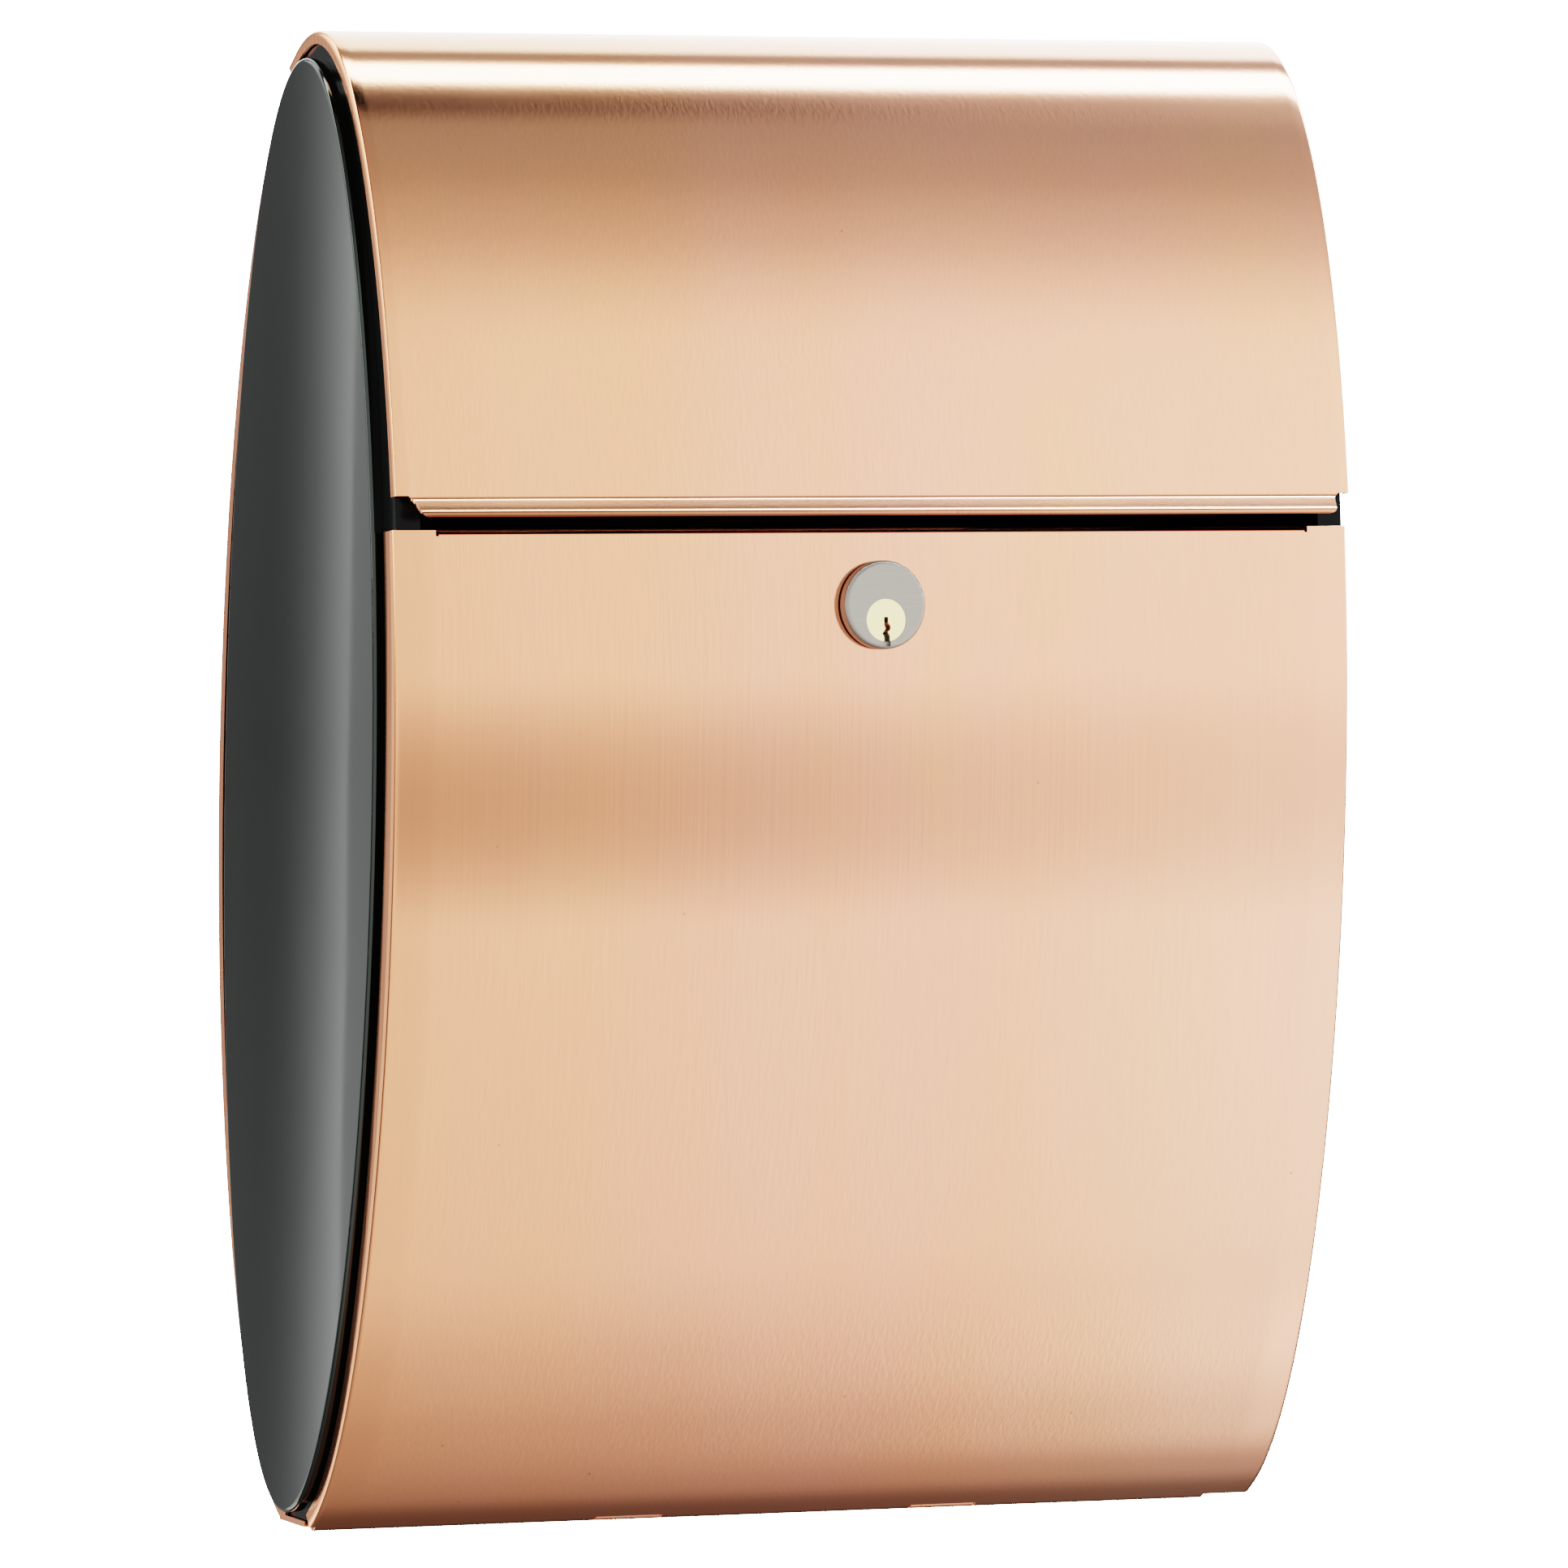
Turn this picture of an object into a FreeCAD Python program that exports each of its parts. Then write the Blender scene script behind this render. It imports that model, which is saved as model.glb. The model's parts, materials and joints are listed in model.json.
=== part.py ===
import FreeCAD, Part
import math
import os
import Sketcher
from FreeCAD import Placement, Rotation, Vector

# Wall mounted mailbox: an upright body of elliptical section between two
# moulded end caps.  X runs along its width, the front faces -Y and Z is up.
# The origin lies on the wall, at the centre of the four fixing holes.

doc = FreeCAD.newDocument("wall_mailbox")

SIZES = [
    # name, millimetres or degrees, what it is
    ("body_width", 299.0, "width over the sheet shells"),
    ("half_depth", 68.5, "half of the body's depth, on the outer sheet"),
    ("half_height", 215.0, "half of the full oval's height"),
    ("sheet", 0.8, "thickness of the sheet shells"),
    ("wall_gap", 1.5, "from the body's rearmost line to the wall"),
    ("floor_drop", 212.0, "from the oval's centre down to the floor's underside"),
    ("lid_over", 1.0, "how far the lid stands outside the body's oval"),
    ("lid_edge", 85.8, "height of the lid's lower edge above the centre"),
    ("lid_flange", 3.8, "depth of the lid's side flanges"),
    ("lid_bend", 1.2, "outer bend radius of the lid's flanges"),
    ("lid_rest", 0.8, "angle at which the lid rests on its buffers"),
    ("lip_reach", 7.5, "length of the finger lip"),
    ("lip_slope", 39.0, "angle of the finger lip below level"),
    ("lip_inset", 4.0, "from the lid's ends to the finger lip"),
    ("lip_corner", 2.5, "corner radius of the finger lip"),
    ("hem_radius", 0.8, "radius of the lip's rolled hem"),
    ("door_top", 77.0, "height of the door's top flange above the centre"),
    ("door_ear", 0.4, "how far the door's top corners stand above the flange"),
    ("ear_width", 13.0, "width of the door's top corners"),
    ("door_low", 210.0, "from the centre down to the door skin's lower edge"),
    ("door_flange", 7.5, "depth of the door's side flanges at mid height"),
    ("door_flange_low", 4.0, "depth of the door's side flanges at the bottom"),
    ("door_bend", 1.8, "outer bend radius of the door's flanges"),
    ("door_shelf", 10.0, "depth of the door's top flange"),
    ("shell_flange", 4.5, "depth of the back shell's side flanges"),
    ("knuckle_radius", 1.9, "outer radius of the rolled hinge knuckles"),
    ("rod_radius", 1.0, "radius of the hinge rods"),
    ("rod_play", 0.05, "radial running clearance of the rods"),
    ("knuckle_gap", 0.4, "side gap between neighbouring knuckles"),
    ("door_axis_front", 10.3, "door hinge axis, in front of the centre"),
    ("door_axis_drop", 211.0, "door hinge axis, below the centre"),
    ("lid_axis_back", 23.4, "lid hinge axis, behind the centre"),
    ("lid_axis_up", 201.0, "lid hinge axis, above the centre"),
    ("barrel_end", 134.5, "right end of the door's hinge barrel"),
    ("lid_barrel_end", 140.2, "half width over the lid's hinge barrel"),
    ("knuckle_from", 40.0, "inner end of the fixed knuckles"),
    ("knuckle_to", 60.0, "outer end of the fixed knuckles"),
    ("cap_gap", 0.5, "gap between the end caps and the sheet"),
    ("cap_face", 148.2, "half width over the end caps' rims"),
    ("cap_plate", 2.5, "thickness of the end caps' plate"),
    ("cap_wall", 2.0, "thickness of the end caps' inner wall"),
    ("cap_depth", 5.0, "depth of the end caps' inner wall"),
    ("cap_window_depth", 55.0, "half depth of the opening in an end cap"),
    ("cap_window_height", 206.0, "half height of the opening in an end cap"),
    ("panel_half_depth", 57.5, "half depth of a side panel"),
    ("panel_half_height", 208.5, "half height of a side panel"),
    ("panel_proud", 4.9, "how far a side panel's crown stands over the rim"),
    ("panel_crown", 1200.0, "radius of a side panel's crown"),
    ("panel_edge", 1.0, "edge radius of a side panel"),
    ("panel_skirt", 2.2, "length of a side panel's skirt inside the cap"),
    ("boss_radius", 4.0, "radius of the end caps' screw bosses"),
    ("boss_inner", 137.0, "half width between the screw bosses"),
    ("screw_radius", 2.0, "radius of the screws' shanks"),
    ("screw_head", 3.6, "radius of the screws' heads"),
    ("screw_cap", 2.2, "height of the screws' heads"),
    ("screw_length", 8.0, "length of the screws' shanks in the bosses"),
    ("rail_sheet", 1.5, "thickness of the rails"),
    ("slot_rail_front", 60.0, "front of the slot rail, ahead of the centre"),
    ("slot_rail_depth", 16.0, "depth of the slot rail"),
    ("slot_rail_top", 73.5, "top of the slot rail above the centre"),
    ("slot_rail_height", 14.0, "height of the slot rail"),
    ("rear_rail_front", 45.0, "front of the rear rails, behind the centre"),
    ("rear_rail_height", 34.0, "height of the rear rails"),
    ("tie_front", 26.4, "top tie rod, ahead of the centre"),
    ("tie_up", 189.5, "top tie rod, above the centre"),
    ("tie_radius", 4.0, "radius of the top tie rod"),
    ("hole_pitch_across", 200.0, "distance between the fixing holes along X"),
    ("hole_pitch_up", 240.0, "distance between the fixing holes along Z"),
    ("hole_radius", 3.25, "radius of the fixing holes"),
    ("spacer_radius", 8.0, "radius of the wall spacers"),
    ("lock_up", 55.4, "lock centre above the body's centre"),
    ("lock_radius", 12.7, "radius of the lock's rose"),
    ("lock_rose", 3.6, "thickness of the lock's rose"),
    ("lock_edge", 1.3, "edge radius of the lock's rose"),
    ("lock_barrel", 9.3, "radius of the lock's threaded barrel"),
    ("lock_reach", 12.5, "length of the barrel behind the door's face"),
    ("gasket", 0.8, "thickness of the lock's gasket"),
    ("plug_drop", 4.4, "plug axis below the lock's centre"),
    ("plug_radius", 6.1, "radius of the plug's face"),
    ("plug_core", 4.0, "radius of the plug behind its face"),
    ("plug_face", 3.0, "thickness of the plug's face"),
    ("plug_play", 0.05, "radial running clearance of the plug"),
    ("tail_square", 5.6, "side of the plug's square tail"),
    ("cam_reach", 19.5, "from the plug axis to the cam's tip"),
    ("cam_width", 11.0, "width of the cam"),
    ("cam_sheet", 2.5, "thickness of the cam"),
    ("cam_screw_head", 4.2, "radius of the cam screw's head"),
    ("cam_screw_radius", 1.45, "radius of the cam screw's shank"),
    ("nut_corner", 13.3, "corner radius of the lock's hexagon nut"),
    ("nut_height", 3.0, "height of the lock's nut"),
    ("slack", 0.05, "gap between pieces that are assembled face to face"),
    ("hole_play", 0.2, "radial play of the screws in the rails"),
    ("shell_gap", 0.3, "gap between the inner frame and the sheet shells"),
    ("rivet_radius", 1.6, "radius of the rivets' shanks"),
    ("rivet_head", 3.2, "radius of the rivets' heads"),
    ("rivet_tail", 2.4, "radius of the rivets' upset tails"),
    ("rivet_pitch", 110.0, "distance between the rivets"),
    ("guard_lean", 30.0, "how far the mail guard leans back"),
    ("guard_drop", 42.0, "height of the mail guard's sloping leaf"),
    ("guard_sheet", 1.0, "thickness of the mail guard"),
    ("drain_radius", 2.5, "radius of the drain holes in the floor"),
    ("drain_place", 90.0, "drain holes, to each side of the middle"),
    ("lid_buffer", 2.0, "radius of the lid's buffers"),
    ("lid_buffer_up", 100.0, "height of the lid's buffers above the centre"),
    ("door_buffer", 4.0, "radius of the door's buffers"),
    ("door_buffer_place", 100.0, "door's buffers, to each side of the middle"),
]

sheet = doc.addObject("Spreadsheet::Sheet", "sizes")
for row, (alias, value, meaning) in enumerate(SIZES, start=1):
    sheet.set(f"A{row}", meaning)
    sheet.set(f"B{row}", str(value))
    sheet.setAlias(f"B{row}", alias)
doc.recompute()

HALF = "sizes.body_width / 2"
CENTRE = "-(sizes.half_depth + sizes.wall_gap)"
DOOR_Y = f"{CENTRE} - sizes.door_axis_front"
DOOR_Z = "-sizes.door_axis_drop"
LID_Y = f"{CENTRE} + sizes.lid_axis_back"
LID_Z = "sizes.lid_axis_up"
FAR = "400"

ALONG_X = Rotation(Vector(1, 1, 1), 120)
ALONG_Y = Rotation(Vector(1, 0, 0), -90)
UPRIGHT_OVAL = Rotation(Vector(0, 1, 0), -90)

nodes = []


def size(expression):
    """The value of an expression of the size sheet."""
    return float(sheet.evalExpression(expression))


def bind(thing, bindings):
    """Bind each property of a document object to an expression."""
    for name, expression in bindings.items():
        thing.setExpression(name, expression)


def place(thing, x, y, z, rotation=Rotation()):
    """Put an object at a place given by expressions, turned by a rotation."""
    thing.Placement = Placement(Vector(0, 0, 0), rotation)
    bind(thing, {"Placement.Base.x": x, "Placement.Base.y": y, "Placement.Base.z": z})


def keep(thing, label):
    """Register a finished sub-part under its own name."""
    thing.Label = label
    nodes.append(thing)
    return thing


# ---- primitives and booleans -------------------------------------------------

def box(name, x, y, z):
    """Box between the expressions (low, high) on each axis."""
    block = doc.addObject("Part::Box", name)
    bind(block, {"Length": f"({x[1]}) - ({x[0]})", "Width": f"({y[1]}) - ({y[0]})",
                 "Height": f"({z[1]}) - ({z[0]})"})
    place(block, x[0], y[0], z[0])
    return block


def cylinder(name, radius, length, x, y, z, rotation):
    """Cylinder from a point, along the axis that the rotation gives."""
    rod = doc.addObject("Part::Cylinder", name)
    bind(rod, {"Radius": radius, "Height": length})
    place(rod, x, y, z, rotation)
    return rod


def oval_bar(name, half_depth, half_height, x_low, x_high):
    """Bar along X whose section is an upright oval about the body's centre."""
    outline = doc.addObject("Part::Ellipse", name + "_outline")
    bind(outline, {"MajorRadius": half_height, "MinorRadius": half_depth})
    place(outline, x_low, CENTRE, "0", UPRIGHT_OVAL)
    bar = doc.addObject("Part::Extrusion", name)
    bar.Base = outline
    bar.DirMode = "Custom"
    bar.Dir = Vector(1, 0, 0)
    bar.Solid = True
    bind(bar, {"LengthFwd": f"({x_high}) - ({x_low})"})
    return bar


def inset_bar(name, inset, half_width):
    """Oval bar as wide as given on both sides, inset from the body's oval."""
    return oval_bar(name, f"sizes.half_depth - ({inset})", f"sizes.half_height - ({inset})",
                    f"-({half_width})", half_width)


def fuse(name, parts):
    joined = doc.addObject("Part::MultiFuse", name)
    joined.Shapes = parts
    joined.Refine = False
    return joined


def cut(name, base, tools):
    """Base without the tools."""
    result = doc.addObject("Part::Cut", name)
    result.Base = base
    result.Tool = tools[0] if len(tools) == 1 else fuse(name + "_tools", tools)
    result.Refine = False
    return result


def common(name, first, second, merge_faces=False):
    result = doc.addObject("Part::Common", name)
    result.Base = first
    result.Tool = second
    result.Refine = merge_faces
    return result


def mirrored(name, source, normal):
    """Mirror image of an object in a plane through the origin."""
    image = doc.addObject("Part::Mirroring", name)
    image.Source = source
    image.Normal = normal
    return image


def group(name, parts):
    """Separate solids that share one sub-part."""
    gathered = doc.addObject("Part::Compound", name)
    gathered.Links = parts
    return gathered


def rounded(name, base, radius, wanted):
    """Round the edges of the base that the test picks."""
    doc.recompute()
    picked = [number for number, edge in enumerate(base.Shape.Edges, start=1) if wanted(edge)]
    if not picked:
        raise RuntimeError(name + " finds no edge to round")
    result = doc.addObject("Part::Fillet", name)
    result.Base = base
    result.Edges = [(number, size(radius), size(radius)) for number in picked]
    return result


def is_end_outline(edge):
    """True for an edge that lies in a plane across X."""
    return edge.BoundBox.XLength < 0.01


# ---- sketched bodies ---------------------------------------------------------

def sketch_in(body, name, role, offset="0"):
    """Sketch on one of the body's own origin planes, moved along its normal."""
    plane = next(item for item in body.Origin.OriginFeatures if item.Role == role)
    sketch = body.newObject("Sketcher::SketchObject", name)
    sketch.AttachmentSupport = (plane, [""])
    sketch.MapMode = "FlatFace"
    bind(sketch, {"AttachmentOffset.Base.z": offset})
    return sketch


def pin_point(sketch, shape, point, across, up):
    """Hold a point of the sketch at the given expressions."""
    for kind, expression in (("DistanceX", across), ("DistanceY", up)):
        datum = sketch.addConstraint(
            Sketcher.Constraint(kind, -1, 1, shape, point, size(expression)))
        sketch.setExpression(f"Constraints[{datum}]", expression)


def draw_circle(sketch, radius, across="0", up="0"):
    middle = Vector(size(across), size(up), 0)
    ring = sketch.addGeometry(Part.Circle(middle, Vector(0, 0, 1), size(radius)), False)
    datum = sketch.addConstraint(Sketcher.Constraint("Radius", ring, size(radius)))
    sketch.setExpression(f"Constraints[{datum}]", radius)
    pin_point(sketch, ring, 3, across, up)


def draw_polygon(sketch, corners):
    """Closed outline through corners given as pairs of expressions."""
    points = [Vector(size(across), size(up), 0) for across, up in corners]
    lines = []
    for here, there in zip(points, points[1:] + points[:1]):
        lines.append(sketch.addGeometry(Part.LineSegment(here, there), False))
    for line, following in zip(lines, lines[1:] + lines[:1]):
        sketch.addConstraint(Sketcher.Constraint("Coincident", line, 2, following, 1))
    for line, (across, up) in zip(lines, corners):
        pin_point(sketch, line, 1, across, up)


def draw_rectangle(sketch, across, up):
    draw_polygon(sketch, [(across[0], up[0]), (across[1], up[0]),
                          (across[1], up[1]), (across[0], up[1])])


def draw_hexagon(sketch, radius):
    corners = []
    for step in range(6):
        turn = math.radians(60 * step)
        corners.append((f"{radius} * {math.cos(turn):.6f}", f"{radius} * {math.sin(turn):.6f}"))
    draw_polygon(sketch, corners)


def pad(body, sketch, length):
    feature = body.newObject("PartDesign::Pad", sketch.Name + "_pad")
    feature.Profile = sketch
    bind(feature, {"Length": length})
    return feature


def pocket(body, sketch, length, backwards=False):
    """Cut along the sketch's reversed normal, or along it when backwards."""
    feature = body.newObject("PartDesign::Pocket", sketch.Name + "_pocket")
    feature.Profile = sketch
    feature.Reversed = backwards
    bind(feature, {"Length": length})
    return feature


# ---- hinge knuckles ----------------------------------------------------------

FIXED_SPANS = [("-sizes.knuckle_to", "-sizes.knuckle_from"),
               ("sizes.knuckle_from", "sizes.knuckle_to")]


def moving_spans(left_end, right_end):
    """Spans of the moving knuckles, from the left end to the right end."""
    low = "sizes.knuckle_from - sizes.knuckle_gap"
    high = "sizes.knuckle_to + sizes.knuckle_gap"
    return [(left_end, f"-({high})"), (f"-({low})", low), (high, right_end)]


def knuckles(name, spans, y, z):
    """Rolled tubes about a hinge axis, before their bore is made."""
    tubes = []
    for number, (low, high) in enumerate(spans, start=1):
        tubes.append(cylinder(f"{name}_knuckle_{number}", "sizes.knuckle_radius",
                              f"({high}) - ({low})", low, y, z, ALONG_X))
    return tubes


def web_boxes(name, spans, y, z):
    """Regions where a shell reaches on to its knuckles."""
    return [box(f"{name}_web_{number}", span, y, z)
            for number, span in enumerate(spans, start=1)]


def hinge_bore(name, play, y, z):
    return cylinder(name, f"sizes.rod_radius + {play}", FAR, "-200", y, z, ALONG_X)


def hinge_rod(label, left, right_end, y, z):
    keep(cylinder(label, "sizes.rod_radius", f"({right_end}) - ({left})", left, y, z, ALONG_X),
         label)


# ---- sheet shells ------------------------------------------------------------

def flanged_shell(name, out, bend, flange_mid, flange_end):
    """Closed oval shell with side flanges, rounded at the bends.

    out is how far it stands outside the body's oval.
    """
    solid = rounded(f"{name}_outer", inset_bar(f"{name}_outer_bar", f"-({out})", HALF),
                    bend, is_end_outline)
    hollow = rounded(f"{name}_inner",
                     inset_bar(f"{name}_inner_bar", f"sizes.sheet - ({out})",
                               f"{HALF} - sizes.sheet"),
                     f"{bend} - sizes.sheet", is_end_outline)
    window = oval_bar(f"{name}_window", f"sizes.half_depth + ({out}) - ({flange_mid})",
                      f"sizes.half_height + ({out}) - ({flange_end})",
                      f"-({HALF}) - 1", f"{HALF} + 1")
    return cut(f"{name}_blank", solid, [hollow, window])


def fixing_bores(name, radius):
    """Four bores along Y on the wall fixing pattern."""
    bores = []
    for across in (-1, 1):
        for up in (-1, 1):
            bores.append(cylinder(f"{name}_{len(bores) + 1}", radius, FAR,
                                  f"{across} * sizes.hole_pitch_across / 2", "-90",
                                  f"{up} * sizes.hole_pitch_up / 2", ALONG_Y))
    return bores


def back_shell():
    """Rear sheet with side flanges, floor, fixed knuckles and fixing holes."""
    top = "sizes.lid_axis_up - 2.2"
    blank = flanged_shell("back", "0", "1.5", "sizes.shell_flange", "sizes.shell_flange")
    region = [box("back_region", ("-200", "200"), (f"{CENTRE} + 6", "10"),
                  ("-sizes.floor_drop", top))]
    region += web_boxes("back", FIXED_SPANS, (LID_Y, "10"), (f"{top} - 5", LID_Z))
    parts = [common("back_rear", blank, fuse("back_regions", region))]
    parts += knuckles("back_lid", FIXED_SPANS, LID_Y, LID_Z)
    parts += knuckles("back_door", FIXED_SPANS, DOOR_Y, DOOR_Z)
    front = f"{CENTRE} - sizes.door_axis_front + sizes.knuckle_radius + 0.5"
    floor_z = ("-sizes.floor_drop", "-sizes.floor_drop + sizes.sheet")
    parts.append(box("back_floor", (f"-({HALF})", HALF), (front, f"{CENTRE} + 10.5"), floor_z))
    for number, span in enumerate(FIXED_SPANS, start=1):
        parts.append(box(f"back_floor_tab_{number}", span, (DOOR_Y, front), floor_z))
    strip_z = ("-sizes.floor_drop", "-sizes.floor_drop + 1.7")
    strip_y = (front, f"{CENTRE} + 9")
    parts.append(box("back_strip_left", (f"-({HALF})", f"-({HALF}) + sizes.sheet"),
                     strip_y, strip_z))
    parts.append(box("back_strip_right", (f"{HALF} - sizes.sheet", HALF), strip_y, strip_z))
    drains = []
    for side in (-1, 1):
        drains.append(cylinder(f"back_drain_{len(drains) + 1}", "sizes.drain_radius", "10",
                               f"{side} * sizes.drain_place", CENTRE, "-sizes.floor_drop - 5",
                               Rotation()))
    tools = fixing_bores("back_fixing", "sizes.hole_radius") + drains
    tools.append(hinge_bore("back_lid_bore", "0.02", LID_Y, LID_Z))
    tools.append(hinge_bore("back_door_bore", "0.02", DOOR_Y, DOOR_Z))
    keep(cut("back_shell", fuse("back_joined", parts), tools), "back_shell")


def lid_shell():
    """Curved lid with side flanges, a finger lip and its rear knuckles.

    It is made closed down to the oval, then turned to rest on its buffers.
    """
    tube_end = "sizes.lid_barrel_end"
    spans = moving_spans(f"-({tube_end})", tube_end)
    rear = f"{LID_Y} - 0.9"
    blank = flanged_shell("lid", "sizes.lid_over", "sizes.lid_bend",
                          "sizes.lid_flange", "sizes.lid_flange")
    region = [box("lid_region", ("-200", "200"), ("-200", rear), ("sizes.lid_edge", "300"))]
    region += web_boxes("lid", spans, (f"{rear} - 5", LID_Y), (LID_Z, "300"))
    parts = [common("lid_cover", blank, fuse("lid_regions", region))]
    parts += knuckles("lid", spans, LID_Y, LID_Z)
    parts += finger_lip()
    bored = cut("lid_shell", fuse("lid_joined", parts),
                [hinge_bore("lid_bore", "sizes.rod_play", LID_Y, LID_Z)])
    bored.Placement = Placement(Vector(0, 0, 0),
                                Rotation(Vector(1, 0, 0), -size("sizes.lid_rest")),
                                Vector(0, size(LID_Y), size(LID_Z)))
    keep(bored, "lid_shell")


def finger_lip():
    """Strip that folds outwards from the lid's lower edge, with a rolled hem."""
    slope = math.radians(size("sizes.lip_slope"))
    root = (f"{CENTRE} + 0.5 - (sizes.half_depth + sizes.lid_over)"
            " * sqrt(1 - (sizes.lid_edge / (sizes.half_height + sizes.lid_over))^2)")
    reach_y = f"sizes.lip_reach * {math.cos(slope):.6f}"
    reach_z = f"sizes.lip_reach * {math.sin(slope):.6f}"
    strip = doc.addObject("Part::Box", "lip_strip")
    bind(strip, {"Length": "sizes.body_width - 2 * sizes.lip_inset",
                 "Width": "sizes.lip_reach", "Height": "sizes.sheet"})
    place(strip, f"-({HALF}) + sizes.lip_inset", f"({root}) - {reach_y}",
          f"sizes.lid_edge - {reach_z}", Rotation(Vector(1, 0, 0), size("sizes.lip_slope")))

    def is_outer_corner(edge):
        middle = edge.BoundBox.Center
        return edge.Length < 1 and middle.y < size(root) - size(reach_y) / 2

    lip = rounded("lip_rounded", strip, "sizes.lip_corner", is_outer_corner)
    hem = cylinder("lip_hem", "sizes.hem_radius",
                   "sizes.body_width - 2 * sizes.lip_inset - 2 * sizes.lip_corner",
                   f"-({HALF}) + sizes.lip_inset + sizes.lip_corner",
                   f"({root}) - {reach_y} + 0.5", f"sizes.lid_edge - {reach_z} + 0.85",
                   ALONG_X)
    return [lip, hem]


def door_shell():
    """Curved door with side flanges, a top flange and its lower knuckles."""
    spans = moving_spans(f"-({HALF})", "sizes.barrel_end")
    blank = flanged_shell("door", "0", "sizes.door_bend",
                          "sizes.door_flange", "sizes.door_flange_low")
    region = [box("door_region", ("-200", "200"), ("-200", f"{CENTRE} - 9"),
                  ("-sizes.door_low", "sizes.door_top + sizes.door_ear"))]
    region += web_boxes("door", spans, ("-200", DOOR_Y),
                        ("-sizes.door_low - 1.5", "-sizes.door_low + 5"))
    skin = common("door_skin", blank, fuse("door_regions", region))
    middle = (f"-({HALF}) + sizes.ear_width", f"{HALF} - sizes.ear_width")
    notched = cut("door_notched", skin,
                  [box("door_notch", middle, ("-200", "0"), ("sizes.door_top", "200"))])
    face = (f"{CENTRE} - sizes.half_depth"
            " * sqrt(1 - (sizes.door_top / sizes.half_height)^2)")
    shelf = box("door_shelf_plate", middle, (face, f"({face}) + sizes.door_shelf"),
                ("sizes.door_top - sizes.sheet", "sizes.door_top"))
    parts = [notched, shelf]
    parts += knuckles("door", spans, DOOR_Y, DOOR_Z)
    tools = [hinge_bore("door_bore", "sizes.rod_play", DOOR_Y, DOOR_Z),
             lock_bore("door_lock_hole", "sizes.lock_barrel + sizes.shell_gap")]
    keep(cut("door_shell", fuse("door_joined", parts), tools), "door_shell")


# ---- end caps and side panels ------------------------------------------------

def cap_screw_points():
    """Where the rails are screwed to the caps, as (y, z) expressions."""
    return [(f"{CENTRE} - sizes.slot_rail_front + 5.4",
             "sizes.slot_rail_top - sizes.slot_rail_height / 2"),
            (f"{CENTRE} + sizes.rear_rail_front + 5.4", "sizes.hole_pitch_up / 2"),
            (f"{CENTRE} + sizes.rear_rail_front + 5.4", "-sizes.hole_pitch_up / 2")]


TIE_POINT = (f"{CENTRE} - sizes.tie_front", "sizes.tie_up")


def end_caps():
    """Moulded frames at both ends, with screw bosses and buffer seats."""
    edge = "sizes.sheet + sizes.cap_gap"
    base_x = "sizes.cap_face - sizes.cap_plate"
    low = "-sizes.floor_drop + sizes.sheet + sizes.shell_gap"
    rim = oval_bar("cap_rim", f"sizes.half_depth - ({edge})", f"sizes.half_height - ({edge})",
                   f"{base_x} - sizes.cap_depth", "sizes.cap_face")
    core = oval_bar("cap_core", f"sizes.half_depth - ({edge}) - sizes.cap_wall",
                    f"sizes.half_height - ({edge}) - sizes.cap_wall", "100", base_x)
    window = oval_bar("cap_window", "sizes.cap_window_depth", "sizes.cap_window_height",
                      "100", "200")
    frame = common("cap_frame", cut("cap_hollow", rim, [core, window]),
                   box("cap_region", ("0", "200"), ("-200", "200"), (low, "300")))
    parts = [frame]
    holes = []
    for number, (y, z) in enumerate(cap_screw_points() + [TIE_POINT], start=1):
        parts.append(cylinder(f"cap_boss_{number}", "sizes.boss_radius",
                              f"{base_x} + 0.1 - sizes.boss_inner", "sizes.boss_inner",
                              y, z, ALONG_X))
        holes.append(cylinder(f"cap_boss_hole_{number}", "sizes.screw_radius + 0.02",
                              "sizes.screw_length + 0.5", "sizes.boss_inner", y, z, ALONG_X))
    holes.append(lid_buffer_pin("cap_buffer_seat", "sizes.lid_buffer + 0.02"))
    holes.append(cylinder("cap_hinge_relief", "sizes.knuckle_radius + 0.6", FAR,
                          "0", DOOR_Y, DOOR_Z, ALONG_X))
    right = cut("cap_right_shape", fuse("cap_joined", parts), holes)
    keep(right, "right_end_cap")
    keep(mirrored("cap_left_shape", right, Vector(1, 0, 0)), "left_end_cap")


def side_panels():
    """Glossy oval covers that snap into the end caps, crowned about Z."""
    crown = "sizes.cap_face + sizes.panel_proud"
    under = "sizes.cap_face + sizes.slack"
    bar = oval_bar("panel_bar", "sizes.panel_half_depth", "sizes.panel_half_height",
                   under, f"{crown} + 2")
    drum = cylinder("panel_drum", "sizes.panel_crown", "600",
                    f"{crown} - sizes.panel_crown", CENTRE, "-300", Rotation())
    domed = common("panel_domed", bar, drum, merge_faces=True)

    def is_rim(edge):
        return edge.BoundBox.XMin > size(under) + 1 and edge.Length > 100

    face = rounded("panel_face", domed, "sizes.panel_edge", is_rim)
    skirt_x = (f"{under} - sizes.panel_skirt", f"{under} + 0.6")
    skirt = cut("panel_skirt_ring",
                oval_bar("panel_skirt_out", "sizes.cap_window_depth - 0.1",
                         "sizes.cap_window_height - 0.1", *skirt_x),
                [oval_bar("panel_skirt_in", "sizes.cap_window_depth - 2.1",
                          "sizes.cap_window_height - 2.1", "100", "200")])
    cavity = oval_bar("panel_cavity", "sizes.cap_window_depth - 2.1",
                      "sizes.cap_window_height - 2.1", "100", "sizes.cap_face + 1.6")
    right = fuse("panel_right_shape", [cut("panel_shell", face, [cavity]), skirt])
    keep(right, "right_side_panel")
    keep(mirrored("panel_left_shape", right, Vector(1, 0, 0)), "left_side_panel")


# ---- rails, tie rod and screws ----------------------------------------------

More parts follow.
